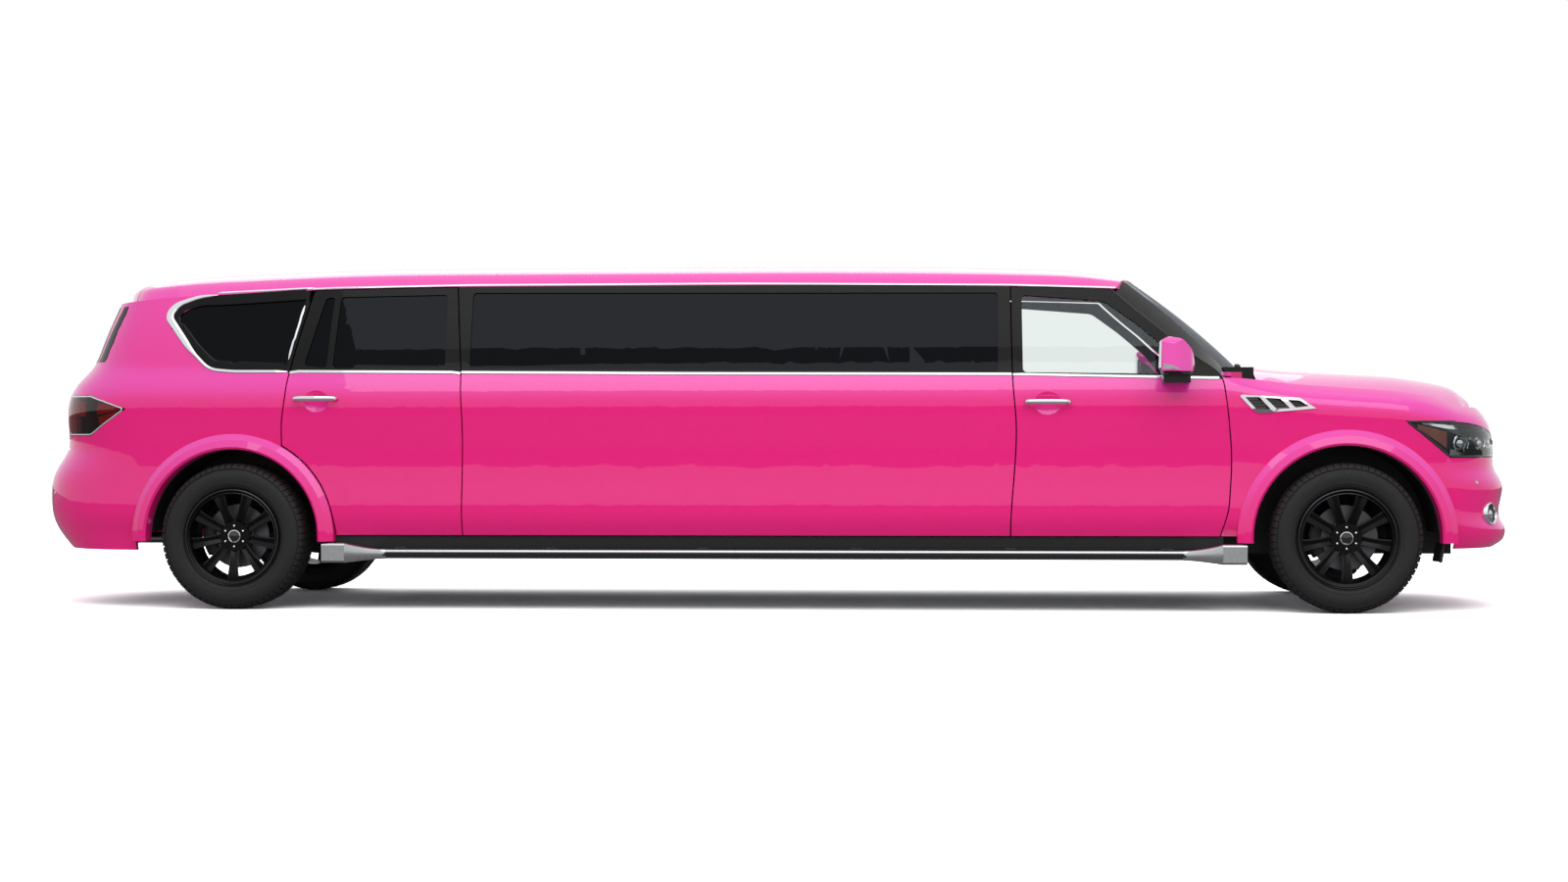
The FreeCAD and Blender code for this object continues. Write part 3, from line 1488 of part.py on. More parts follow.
def tyre(x):
    """Left tyre with a round shoulder. The tread pattern is only on its skin."""
    half = tyre_width / 2
    profile = [
        (bead_radius, -rim_half_width + barrel_thickness), (rim_radius, -rim_half_width),
        (mix(rim_radius, tyre_radius, 0.5), -half), (tyre_radius - tyre_shoulder, -tread_half_width),
        (tyre_radius, -tread_half_width + tyre_shoulder), (tyre_radius, tread_half_width - tyre_shoulder),
        (tyre_radius - tyre_shoulder, tread_half_width), (mix(rim_radius, tyre_radius, 0.5), half),
        (rim_radius, rim_half_width), (bead_radius, rim_half_width - barrel_thickness),
    ]
    return revolved(profile, x, track / 2)


def spoke(angle, x, y):
    """One spoke, lofted from the hub to the barrel, bowed out in the middle."""
    sections = []
    for share, width_share, place, depth in spoke_shares:
        width = spoke_tip_width * width_share
        r = mix(hub_radius * 0.8, bead_radius - barrel_thickness / 2, share)
        front = rim_half_width * place
        back = front - rim_half_width * depth
        points = [V(width * a, mix(back, front, b), r) for a, b in spoke_section_shares]
        sections.append(Part.makePolygon(points + points[:1]))
    solid = Part.makeLoft(sections, True, False)
    solid.rotate(V(0, 0, 0), V(0, 1, 0), angle)
    solid.translate(V(x, y, tyre_radius))
    return solid


def wheel(x):
    """Left wheel: barrel, nine spokes, hub and brake disc in one piece."""
    y = track / 2
    barrel = revolved([
        (bead_radius - barrel_thickness, -rim_half_width + barrel_thickness / 2),
        (rim_radius - seat_gap, -rim_half_width - barrel_thickness),
        (rim_radius - seat_gap, -rim_half_width - seat_gap * 2),
        (bead_radius - seat_gap, -rim_half_width + barrel_thickness),
        (bead_radius - seat_gap, rim_half_width - barrel_thickness),
        (rim_radius - seat_gap, rim_half_width + seat_gap * 2),
        (rim_radius - seat_gap, rim_half_width + barrel_thickness),
        (bead_radius - barrel_thickness, rim_half_width - barrel_thickness / 2),
        (bead_radius - barrel_thickness - rim_drop, rim_half_width / 2),
        (bead_radius - barrel_thickness, 0),
    ], x, y)
    hub = rod(V(x, hub_face_y, tyre_radius), V(x, y + rim_half_width * 0.6, tyre_radius), hub_radius)
    disc = rod(V(x, hub_face_y + disc_thickness / 2, tyre_radius),
               V(x, hub_face_y + disc_thickness * 1.5, tyre_radius), disc_radius)
    spokes = [spoke(first_spoke_angle + 360 / spoke_count * i, x, y) for i in range(spoke_count)]
    return fused(barrel, hub, disc, *spokes)


# Cabin


def seat(x, y, facing_degrees=0.0, width=None):
    """Cushion and back of one seat that stands on the floor."""
    wide = seat_width if width is None else width
    foot = floor_height + floor_thickness
    cushion = box(0, seat_depth, -wide / 2, wide / 2, 0, seat_height)
    back = box(-seat_back_thickness, 0, -wide / 2, wide / 2, 0, seat_back_height)
    both_parts = cushion.fuse(back)
    both_parts.rotate(V(0, 0, 0), V(0, 0, 1), facing_degrees)
    both_parts.translate(V(x, y, foot))
    return both_parts.removeSplitter()


def front_seats():
    return Part.makeCompound([seat(front_seat_x, y) for y in (-front_seat_y, front_seat_y)])


def lounge_seats():
    """Rear bench and the long bench down the right side."""
    back_x = cargo_front_x + floor_thickness + seat_back_thickness
    bench = seat(back_x, 0, 0.0, lounge_bench_width * 2)
    side_y = -(floor_half_width - seat_back_thickness)
    start = back_x + seat_depth + panel_gap
    lounge_length = partition_x - panel_gap - start
    side = seat(start + lounge_length / 2, side_y, 90.0, lounge_length)
    return Part.makeCompound([bench, side])


def partition():
    foot = floor_height + floor_thickness
    half = skin_y(2.0) - frame_thickness - panel_gap
    return trapezoid(half, foot, half, drip_height - panel_gap * 2, partition_x,
                     partition_x + partition_thickness)


def dashboard():
    back = firewall_x - floor_thickness
    block = box(back - dash_depth, back, -floor_half_width, floor_half_width,
                dash_foot, dash_foot + dash_height)
    face_x = back - dash_depth
    front_edges = [e for e in block.Edges
                   if e.BoundBox.XMax < face_x + seat_gap and e.BoundBox.YLength > dash_depth]
    return block.makeFillet(dash_height / 4, front_edges)


def steering_wheel():
    """Steering wheel and its column, on the left behind the dashboard."""
    ring = Part.makeTorus(steering_wheel_radius, steering_rim_radius)
    hub = Part.makeCylinder(steering_rim_radius * 3, steering_rim_radius * 2, V(0, 0, -steering_rim_radius))
    arms = [rod(V(0, 0, 0), V(steering_wheel_radius * math.cos(a), steering_wheel_radius * math.sin(a), 0),
                steering_rim_radius * 0.7) for a in (math.pi / 2, math.pi * 1.17, math.pi * 1.83)]
    column = Part.makeCylinder(steering_column_radius, dash_depth)
    whole = fused(ring, hub, column, *arms)
    whole.rotate(V(0, 0, 0), V(0, 1, 0), 90 + steering_tilt_degrees)
    x = firewall_x - floor_thickness - dash_depth - steering_column_radius * 6
    whole.translate(V(x, front_seat_y, dash_foot + dash_height * 0.9))
    return whole.cut(dashboard())


def mirror():
    """Left door mirror: a shell rounded three ways, on a short arm."""
    x0, y0, z0 = mirror_front_x - mirror_length, mirror_inner_y + mirror_arm, mirror_foot
    x1, y1, z1 = x0 + mirror_length, y0 + mirror_width, z0 + mirror_height
    side = [(mix(x0, x1, a), mix(z0, z1, b)) for a, b in mirror_side_shares]
    plan = [(mix(x0, x1, a), mix(y0, y1, b)) for a, b in mirror_plan_shares]
    rear = [(mix(y0, y1, a), mix(z0, z1, b)) for a, b in mirror_rear_shares]
    shell = across(outline_wire(side, mirror_corner), y0, y1)
    shell = shell.common(upward(plan, z0, z1, mirror_corner))
    shell = shell.common(along_x(rear, x0, x1, mirror_corner))
    arm = box(x0 + mirror_arm / 2, x1 - mirror_arm / 2, skin_y(1.0) - mirror_arm / 2,
              y0 + mirror_arm * 1.5, z0 - mirror_arm * 0.8, z0 + mirror_arm * 0.2)
    neck = box(x0 + mirror_arm, x1 - mirror_arm, y0 + mirror_arm / 2, y0 + mirror_arm * 1.5,
               z0 - mirror_arm * 0.5, z0 + mirror_arm)
    return fused(shell, arm, neck)


# Assembly


def sides(name, shape):
    return {name + "_left": shape, name + "_right": mirrored(shape)}


def build():
    wall = side_wall()
    glass = side_glass_layer()
    nose = nose_layer(0.0, fender_rim)
    tail = tail_layer(0.0, frame_thickness, panel_thickness)
    roof_slab = roof_layer()
    roof_zone = box(roof_seam_x, front_x, -skin_half_width, skin_half_width, 0, roof_height * 2)
    roof = biggest(roof_slab.common(roof_zone))
    rabbet = rabbet_layer()
    front = biggest(front_door(wall, rabbet))
    rear = biggest(rear_door(wall, rabbet))
    fenders = both(fender(nose))
    tail_glass = tail_layer(glass_inset, glass_inset + glass_thickness, glass_inset + glass_thickness)
    quarter_zone = box(rear_axle_x - rear_overhang, rear_axle_x + overrun * 9, side_cut_y,
                       skin_half_width, 0, roof_height)
    quarter_pane = biggest(pane(tail_glass.common(quarter_zone), "quarter"))
    stretch_pane = biggest(pane(glass, "stretch"))
    frame = windshield_frame(roof, fenders)
    nodes = {
        "chassis_frame": chassis_frame(nose, tail),
        "floor_pan": floor_pan(),
        "wheel_liners": Part.makeCompound(both(wheel_liner(front_axle_x, front_arch_radius)).Solids
                                          + both(wheel_liner(rear_axle_x, rear_arch_radius)).Solids),
        "engine_block": engine_block(),
        "roof": roof,
        "quarter_panels": both(quarter_panel(tail, roof)),
        "stretch_panels": both(biggest(stretch_panel(wall))),
        "fenders": fenders,
        "fender_vents": both(vent_frame()),
        "windshield_frame": frame,
        "windshield": biggest(windshield().cut(roof).cut(frame)),
        "side_glass": Part.makeCompound(both(stretch_pane).Solids + both(quarter_pane).Solids),
        "front_bumper": front_bumper(nose),
        "rear_bumper": rear_bumper(tail),
        "grille": grille(),
        "front_lamps": front_lamps(),
        "tail_lamps": tail_lamps(),
        "running_boards": both(running_board()),
        "rear_axle": rear_axle(),
        "front_suspension": front_suspension(),
        "driveshaft": driveshaft(),
        "exhaust": exhaust(),
        "fuel_tank": fuel_tank(),
        "dashboard": dashboard(),
        "steering_wheel": steering_wheel(),
        "front_seats": front_seats(),
        "lounge_seats": lounge_seats(),
        "partition": partition(),
        "hood": hood(),
        "tailgate": tailgate(tail, roof_slab),
        "tailgate_glass": tailgate_glass(),
    }
    nodes.update(sides("front_door", front))
    nodes.update(sides("rear_door", rear))
    nodes.update(sides("front_handle", biggest(door_handle(*front_handle_place()).cut(front))))
    nodes.update(sides("rear_handle", biggest(door_handle(*rear_handle_place()).cut(rear))))
    front_pane = biggest(pane(glass, "front"))
    nodes.update(sides("front_door_glass", front_pane))
    rear_panes = Part.makeCompound([biggest(pane(glass, "rear")), biggest(pane(glass, "vent"))])
    nodes.update(sides("rear_door_glass", rear_panes))
    nodes.update(sides("mirror", biggest(mirror().cut(front))))
    nodes.update(sides("knuckle", knuckle()))
    for end, x in (("front", front_axle_x), ("rear", rear_axle_x)):
        nodes.update(sides("wheel_" + end, wheel(x)))
        nodes.update(sides("tyre_" + end, tyre(x)))
    return nodes


def main():
    os.makedirs("parts", exist_ok=True)
    for name, shape in build().items():
        shape.exportStep(os.path.join("parts", name + ".step"))


main()
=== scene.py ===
"""Stretch limousine: finishes, trim, wheels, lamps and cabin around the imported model."""
import logging
import math
from dataclasses import dataclass
from enum import Enum
from typing import Iterator, Optional, Sequence, Union

import bmesh
import bpy
import numpy as np
from mathutils import Matrix, Vector
from mathutils.bvhtree import BVHTree


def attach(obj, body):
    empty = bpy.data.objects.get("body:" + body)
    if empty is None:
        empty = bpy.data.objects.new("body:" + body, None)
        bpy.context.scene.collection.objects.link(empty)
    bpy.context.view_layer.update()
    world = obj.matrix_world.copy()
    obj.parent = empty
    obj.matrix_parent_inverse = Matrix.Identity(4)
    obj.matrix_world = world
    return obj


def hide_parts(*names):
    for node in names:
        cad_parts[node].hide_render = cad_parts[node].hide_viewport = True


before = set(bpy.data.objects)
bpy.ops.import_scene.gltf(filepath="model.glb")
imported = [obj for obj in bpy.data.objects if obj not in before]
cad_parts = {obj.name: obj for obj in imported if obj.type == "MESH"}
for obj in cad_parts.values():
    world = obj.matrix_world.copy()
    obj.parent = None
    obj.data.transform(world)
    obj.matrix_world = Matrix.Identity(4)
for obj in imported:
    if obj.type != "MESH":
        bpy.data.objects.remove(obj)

log = logging.getLogger("limousine")
Point = Sequence[float]
Path = Sequence[tuple[float, float]]
Tree = bpy.types.NodeTree
Socket = bpy.types.NodeSocket
Piece = bpy.types.Object
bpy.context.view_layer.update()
SIDES = ((1, "left"), (-1, "right"))
AXLES = (("front", 3.209), ("rear", -2.914))
WHEEL_Y = 0.8625
TYRE_RADIUS = 0.4055


# Colours and shader nodes


def linear(hex_colour: str, alpha: float = 1.0) -> tuple[float, float, float, float]:
    """Turn an sRGB colour into the linear values that a shader takes.

    Args:
        hex_colour: Six hex digits, with or without a leading hash sign.
        alpha: Fourth value of the result.

    Returns:
        Red, green, blue and alpha.
    """
    digits = hex_colour.lstrip("#")
    values = []
    for i in (0, 2, 4):
        c = int(digits[i:i + 2], 16) / 255
        values.append(c / 12.92 if c <= 0.04045 else ((c + 0.055) / 1.055) ** 2.4)
    return values[0], values[1], values[2], alpha


def add_node(tree: Tree, kind: str, settings: Optional[dict] = None,
             links: Optional[dict] = None) -> bpy.types.Node:
    """Add one node to a tree.

    Args:
        tree: Shader or geometry tree.
        kind: Node type name.
        settings: Attribute names, or socket names and numbers, with their values.
        links: Socket names or numbers with the output sockets that feed them.

    Returns:
        The new node.
    """
    node = tree.nodes.new(kind)
    for key, value in (settings or {}).items():
        if isinstance(key, str) and hasattr(node, key):
            setattr(node, key, value)
        else:
            node.inputs[key].default_value = value
    for key, source in (links or {}).items():
        tree.links.new(source, node.inputs[key])
    return node


def calculated(tree: Tree, operation: str, *terms: Union[float, Socket]) -> Socket:
    """Result of a math node whose terms are numbers or sockets."""
    node = add_node(tree, "ShaderNodeMath", {"operation": operation})
    for number, term in enumerate(terms):
        if isinstance(term, (int, float)):
            node.inputs[number].default_value = term
        else:
            tree.links.new(term, node.inputs[number])
    return node.outputs[0]


def blended(tree: Tree, share: Socket, first: Union[str, Socket], second: str) -> Socket:
    """Colour that turns from the first to the second one as the share rises."""
    node = add_node(tree, "ShaderNodeMix", {"data_type": "RGBA"}, {0: share})
    if isinstance(first, str):
        node.inputs[6].default_value = linear(first)
    else:
        tree.links.new(first, node.inputs[6])
    node.inputs[7].default_value = linear(second)
    return node.outputs[2]


def seen_rays(tree: Tree, path: bpy.types.Node) -> Socket:
    """One for rays from the camera, from a mirror or through glass, and zero for others."""
    total = path.outputs["Is Camera Ray"]
    for name in ("Is Glossy Ray", "Is Transmission Ray"):
        total = calculated(tree, "MAXIMUM", total, path.outputs[name])
    return total


class Grain(Enum):
    """How a surface was made, which sets its fine relief."""

    SPRAYED = "sprayed"
    POLISHED = "polished"
    BRUSHED = "brushed"
    CAST = "cast"
    MOULDED = "moulded"
    HIDE = "hide"
    PILE = "pile"
    CLEAR = "clear"


@dataclass(frozen=True)
class Finish:
    """One real finish: its colour, gloss and relief.

    The pattern's size is in millimetres, and the relief is a share of its full strength.
    """

    name: str
    colour: str
    second: str
    roughness: float
    grain: Grain
    pattern_mm: float
    relief: float
    metallic: float = 0.0
    coat: float = 0.0
    coat_roughness: float = 0.03
    ior: float = 1.5
    sheen: float = 0.0
    specular: float = 0.5
    # Lighter tone painted where the surface faces up, standing in for light from above; empty for
    # none.
    painted_top_light_tone: str = ""

    def build(self) -> bpy.types.Material:
        """Make the material, or return it if it was made before."""
        made = bpy.data.materials.get(self.name)
        if made is None:
            made = bpy.data.materials.new(self.name)
            made.use_nodes = True
            tree = made.node_tree
            tree.nodes.clear()
            out = add_node(tree, "ShaderNodeOutputMaterial")
            tree.links.new(self.surface(tree), out.inputs["Surface"])
        return made

    def surface(self, tree: Tree) -> Socket:
        """Add the shader with its pattern nodes and return what it gives."""
        shader = add_node(tree, "ShaderNodeBsdfPrincipled", {
            "Metallic": self.metallic, "Coat Weight": self.coat,
            "Coat Roughness": self.coat_roughness, "Sheen Weight": self.sheen,
            "Specular IOR Level": self.specular})
        if self.metallic < 0.5:
            shader.inputs["IOR"].default_value = self.ior
        where = add_node(tree, "ShaderNodeTexCoord").outputs["Object"]
        slow, height = self.pattern(tree, where)
        colour = blended(tree, slow, self.colour, self.second)
        # Painted light: the colour turns lighter where the surface faces up.
        if self.painted_top_light_tone:
            colour = self.painted_top_light(tree, colour)
        tree.links.new(self.tint(tree, where, colour, shader), shader.inputs["Base Color"])
        rough = add_node(tree, "ShaderNodeMapRange", {
            "To Min": self.roughness * 0.85, "To Max": min(1.0, self.roughness * 1.2)},
            {"Value": slow})
        tree.links.new(rough.outputs["Result"], shader.inputs["Roughness"])
        if self.relief > 0:
            tree.links.new(self.bump(tree, height, 0.25), shader.inputs["Normal"])
        return shader.outputs["BSDF"]

    def bump(self, tree: Tree, height: Socket, share: float) -> Socket:
        """Normal of a relief whose depth is a share of the pattern's size."""
        return add_node(tree, "ShaderNodeBump", {
            "Strength": self.relief, "Distance": share * self.pattern_mm / 1000},
            {"Height": height}).outputs["Normal"]

    def painted_top_light(self, tree: Tree, colour: Socket) -> Socket:
        """Painted top light: turn the colour towards a lighter pink where the surface faces up, in
        place of light from above.
        """
        facing = add_node(tree, "ShaderNodeNewGeometry")
        axes = add_node(tree, "ShaderNodeSeparateXYZ", {}, {0: facing.outputs["Normal"]})
        share = add_node(tree, "ShaderNodeMapRange", {
            "interpolation_type": "SMOOTHSTEP", "From Min": -0.04, "From Max": 0.50},
            {"Value": axes.outputs[2]})
        return blended(tree, share.outputs[0], colour, self.painted_top_light_tone)

    def tint(self, tree: Tree, where: Socket, colour: Socket, shader: bpy.types.Node) -> Socket:
        """Colour of the surface. A finish of two colours changes it here."""
        return colour

    def pattern(self, tree: Tree, where: Socket) -> tuple[Socket, Socket]:
        """Slow variation for the tone, and the relief's height."""
        scale = 1000 / self.pattern_mm
        slow = add_node(tree, "ShaderNodeTexNoise", {
            "Scale": scale / 9, "Detail": 3.0, "Roughness": 0.55}, {"Vector": where})
        if self.grain in (Grain.HIDE, Grain.MOULDED):
            cells = add_node(tree, "ShaderNodeTexVoronoi", {"Scale": scale}, {"Vector": where})
            return slow.outputs[0], cells.outputs["Distance"]
        if self.grain is Grain.BRUSHED:
            where = add_node(tree, "ShaderNodeMapping", {"Scale": (0.04, 1.0, 1.0)},
                             {"Vector": where}).outputs["Vector"]
        detail = {Grain.BRUSHED: 4.0, Grain.CAST: 8.0, Grain.PILE: 6.0}.get(self.grain, 2.0)
        fine = add_node(tree, "ShaderNodeTexNoise", {"Scale": scale, "Detail": detail},
                        {"Vector": where})
        return slow.outputs[0], fine.outputs[0]


@dataclass(frozen=True)
class TwoColourPaint(Finish):
    """Body paint that turns to gloss black above the belt line.

    The belt line is a cubic of X in metres. Ahead of the edge line the black starts,
    so that a rear quarter stays pink behind its window.
    """

    upper: str = "0B0B0D"
    upper_coat: float = 0.10
    belt: tuple[float, float, float, float] = (0.0, 0.0, 0.0, 1.3)
    edge_x: float = -9.0
    edge_slope: float = 0.0

    def tint(self, tree: Tree, where: Socket, colour: Socket, shader: bpy.types.Node) -> Socket:
        """Mix in the upper colour above the belt line."""
        axes = add_node(tree, "ShaderNodeSeparateXYZ", {}, {0: where})
        x, z = axes.outputs[0], axes.outputs[2]
        line = calculated(tree, "MULTIPLY", x, self.belt[0])
        for share in self.belt[1:-1]:
            line = calculated(tree, "MULTIPLY", calculated(tree, "ADD", line, share), x)
        line = calculated(tree, "ADD", line, self.belt[-1])
        over = calculated(tree, "GREATER_THAN", z, line)
        lean = calculated(tree, "MULTIPLY_ADD", z, self.edge_slope, self.edge_x)
        both = calculated(tree, "MULTIPLY", over, calculated(tree, "GREATER_THAN", x, lean))
        weight = add_node(tree, "ShaderNodeMapRange", {
            "To Min": self.coat, "To Max": self.upper_coat}, {"Value": both})
        tree.links.new(weight.outputs["Result"], shader.inputs["Coat Weight"])
        return blended(tree, both, colour, self.upper)


@dataclass(frozen=True)
class TintedGlass(Finish):
    """Thin automotive glass that lets light through without bending it."""

    gloss: str = "FFFFFF"

    def surface(self, tree: Tree) -> Socket:
        """Add a clear and a glossy shader, mixed by the angle of view."""
        where = add_node(tree, "ShaderNodeTexCoord").outputs["Object"]
        _, height = self.pattern(tree, where)
        normal = self.bump(tree, height, 0.05)
        clear = add_node(tree, "ShaderNodeBsdfTransparent", {"Color": linear(self.colour)})
        gloss = add_node(tree, "ShaderNodeBsdfGlossy", {
            "Color": linear(self.gloss), "Roughness": self.roughness}, {"Normal": normal})
        facing = add_node(tree, "ShaderNodeFresnel", {"IOR": self.ior}, {"Normal": normal})
        return add_node(tree, "ShaderNodeMixShader", {}, {
            0: facing.outputs[0], 1: clear.outputs[0], 2: gloss.outputs[0]}).outputs[0]


@dataclass(frozen=True)
class StudioFloor(Finish):
    """Pale floor that stays white to the camera and keeps the car's shadow."""

    lit_gain: float = 0.8
    seen_gain: float = 2.7
    mirrored_gain: float = 0.32

    def surface(self, tree: Tree) -> Socket:
        """Add a matt floor, shown brighter to rays that see it."""
        where = add_node(tree, "ShaderNodeTexCoord").outputs["Object"]
        slow, _ = self.pattern(tree, where)
        tones = blended(tree, slow, self.colour, self.second)
        path = add_node(tree, "ShaderNodeLightPath")
        seen = add_node(tree, "ShaderNodeMapRange", {
            "To Min": self.lit_gain, "To Max": self.seen_gain}, {"Value": seen_rays(tree, path)})
        gain = add_node(tree, "ShaderNodeMix", {"data_type": "FLOAT", 3: self.mirrored_gain},
                        {0: path.outputs["Is Glossy Ray"], 2: seen.outputs[0]})
        bright = add_node(tree, "ShaderNodeVectorMath", {"operation": "SCALE"},
                          {0: tones, "Scale": gain.outputs[0]})
        return add_node(tree, "ShaderNodeBsdfDiffuse", {},
                        {"Color": bright.outputs[0]}).outputs[0]


# Lighter pink painted on up-facing enamel and all over the mirror cap, standing in for light from
# above.
PAINTED_TOP_LIGHT_PINK = "F84AB6"
BELT_PLACES = ((-2.559, 1.318), (-0.369, 1.302), (1.398, 1.292), (2.505, 1.268))
BELT_CUBIC = tuple(float(c) for c in np.polyfit([p[0] for p in BELT_PLACES],
                                                [p[1] for p in BELT_PLACES], 3))
# What all pink enamel shares: pigment, orange peel, a clear coat like a mirror, and a lighter pink
# painted where it faces up as top light.
ENAMEL = dict(colour="F92087", second="F41C80", roughness=0.34, grain=Grain.SPRAYED,
              pattern_mm=6.0, relief=0.02, coat=0.85, coat_roughness=0.02, specular=0.1,
              painted_top_light_tone=PAINTED_TOP_LIGHT_PINK)


class Finishes:
    """All finishes of the car, each named for the real material."""

    # Clear-coated enamel: a deep pink with a mirror-like skin and a faint orange peel; it is
    # painted lighter where it faces up, standing in for top light.
    body = Finish("clear_coated_pink_enamel", **ENAMEL)
    # The same enamel, masked above the belt so that the window frames read as black.
    doors = TwoColourPaint("clear_coated_enamel_pink_under_black", **ENAMEL, belt=BELT_CUBIC)
    # The same again, with the black ending on a slant behind the rear door.
    quarters = TwoColourPaint("clear_coated_enamel_quarter", **ENAMEL, belt=BELT_CUBIC,
                              edge_x=-2.640 - 0.204 * 1.322, edge_slope=0.204)
    # Gloss black enamel on pillars and window frames.
    black_enamel = Finish("gloss_black_enamel", "0A0A0C", "101012", 0.12, Grain.SPRAYED, 6.0,
                          0.02, specular=0.3)
    # Powder-coated frame steel: dull black with a fine pebble.
    frame_steel = Finish("powder_coated_steel", "17181A", "202224", 0.55, Grain.CAST, 2.0, 0.25)
    # Cast iron: dark grey with the rough skin of its sand mould.
    cast_iron = Finish("sand_cast_iron", "3A3B3D", "52504C", 0.62, Grain.CAST, 3.0, 0.5,
                       metallic=0.85)
    # Turned steel: bright, with fine rings that draw the light out.
    steel = Finish("turned_steel", "8C8E91", "A3A5A8", 0.3, Grain.BRUSHED, 1.2, 0.12,
                   metallic=1.0)
    # Anodised aluminium: pale satin metal along the steps.
    aluminium = Finish("anodised_aluminium", "B4B7B9", "C6C9CB", 0.28, Grain.BRUSHED, 1.5, 0.1,
                       metallic=1.0)
    # Decorative chromium plate: a dark-bright mirror.
    chrome = Finish("chromium_plate", "E2E4E6", "D5D8DB", 0.06, Grain.POLISHED, 40.0, 0.01,
                    metallic=1.0)
    # Grained polypropylene: dull black with moulded cells.
    plastic = Finish("grained_black_polypropylene", "141415", "1C1C1D", 0.6, Grain.MOULDED,
                     1.6, 0.3)
    # Piano black: a deep wet shine.
    gloss_plastic = Finish("piano_black_abs", "08080A", "0E0E10", 0.1, Grain.POLISHED, 30.0,
                           0.01, coat=0.6)
    # Extruded rubber: flat black that swallows light.
    rubber = Finish("extruded_epdm_rubber", "0C0C0D", "131314", 0.75, Grain.CAST, 1.5, 0.15)
    # Tyre rubber: charcoal with a dusty sheen at grazing light.
    tyre = Finish("vulcanised_tyre_rubber", "121214", "1C1C1E", 0.72, Grain.CAST, 2.2, 0.3)
    # Painted alloy: black with a soft narrow shine on the spokes.
    wheel = Finish("gloss_black_painted_alloy", "050506", "09090A", 0.26, Grain.SPRAYED, 5.0,
                   0.02, specular=0.16)
    # Diamond-cut edge left dark: a thin line of light round the rim.
    cut_alloy = Finish("smoked_cut_alloy", "3A3B3E", "48494C", 0.28, Grain.BRUSHED, 2.0, 0.05,
                       metallic=1.0)
    # Dark satin face of the side step.
    gunmetal = Finish("gunmetal_anodised_aluminium", "2A2B2D", "343538", 0.34, Grain.BRUSHED, 1.5,
                      0.1, metallic=0.7)
    # Ground brake disc: grey metal swept round by the pads.
    disc = Finish("ground_brake_disc", "5A5B5E", "6C6D70", 0.38, Grain.BRUSHED, 1.6, 0.15,
                  metallic=0.9)
    # Tufted carpet: soft and dark, with no edge to its shading.
    carpet = Finish("tufted_carpet", "121213", "1F1F21", 0.95, Grain.PILE, 3.0, 0.9, sheen=0.4)
    # Dash vinyl: warm black with a fine hide grain.
    trim = Finish("soft_touch_dash_vinyl", "1A1A1C", "232326", 0.55, Grain.HIDE, 1.8, 0.3)
    # Seat leather: brown-black with a coarser grain and a low gloss.
    leather = Finish("pigmented_seat_leather", "1D1B1B", "2A2726", 0.42, Grain.HIDE, 2.6, 0.35)
    # Privacy glass: almost black, with clear reflections.
    glass_dark = TintedGlass("privacy_glass", "07080A", "07080A", 0.01, Grain.CLEAR, 400.0,
                             0.0, ior=1.52, gloss="767A82")
    # Laminated glass: clear with a trace of green.
    glass_clear = TintedGlass("laminated_green_tint_glass", "FBFDFC", "FBFDFC", 0.01,
                              Grain.CLEAR, 400.0, 0.0, ior=1.52, gloss="9A9EA4")
    # Lens plastic: clear, slightly uneven, bright at its edges.
    lens = TintedGlass("clear_polycarbonate_lens", "F2F5F6", "F2F5F6", 0.02, Grain.CLEAR,
                       200.0, 0.02, ior=1.58)
    # Red acrylic: glows where light comes back through it.
    red_lens = TintedGlass("red_acrylic_lens", "E8405A", "E8405A", 0.03, Grain.CLEAR, 200.0,
                           0.02, ior=1.49)
    # Aluminised bowl: a silver mirror with a soft ripple.
    reflector = Finish("aluminised_reflector", "D8DADC", "C8CACC", 0.1, Grain.POLISHED, 8.0,
                       0.05, metallic=1.0)
    # Studio paper: white, with only the car's shadow on it.
    floor = StudioFloor("studio_floor", "F4F4F4", "F1F1F1", 0.9, Grain.SPRAYED, 60.0, 0.0)
    # Amber side reflector: prism cells that glint.
    amber = Finish("amber_marker_reflector", "C48878", "A8584E", 0.25, Grain.MOULDED, 7.0, 0.4,
                   metallic=0.4)
    # Red prism cells behind the tail lens.
    red_reflector = Finish("prismatic_red_reflector", "D8304C", "A81C38", 0.3, Grain.MOULDED,
                           9.0, 0.6, metallic=0.2)
    # Smoked bezel: dark metal tone that sets off the bright bowls.
    lens_black = Finish("smoked_lamp_bezel", "303338", "484C52", 0.2, Grain.POLISHED, 30.0,
                        0.05, metallic=0.6)
    # Fired black edge of bonded glass: dead black, hardly any reflection.
    frit = Finish("fired_ceramic_frit", "07070A", "0A0A0D", 0.14, Grain.POLISHED, 30.0, 0.0,
                  specular=0.16)
    # Fluted sheet rubber: matt black that takes dust at its ribs.
    tread_rubber = Finish("ribbed_step_rubber", "101012", "1A1A1B", 0.8, Grain.CAST, 3.0, 0.2)
    # Mirror housing: a black moulded foot under a pink enamelled cap; the cap's pink is the lighter
    # tone painted as top light, all over.
    mirror_shell = TwoColourPaint(
        "clear_coated_enamel_over_black_foot", "0B0B0C", "101011", 0.3, Grain.SPRAYED, 6.0, 0.02,
        coat=0.2, coat_roughness=0.02, specular=0.3, upper_coat=0.85, upper=PAINTED_TOP_LIGHT_PINK,
        belt=(0.0, 0.0, 0.0, 1.306))
    # Blank pressed plate: white enamel on aluminium.
    plate = Finish("white_stoved_enamel_plate", "E4E5E6", "D8D9DA", 0.35, Grain.SPRAYED, 20.0,
                   0.02)
    # Charcoal knit of the ceiling: soft, with no highlight at all.
    headlining = Finish("knitted_headlining", "2A2A2C", "353537", 0.9, Grain.PILE, 2.0, 0.6,
                        sheen=0.3)
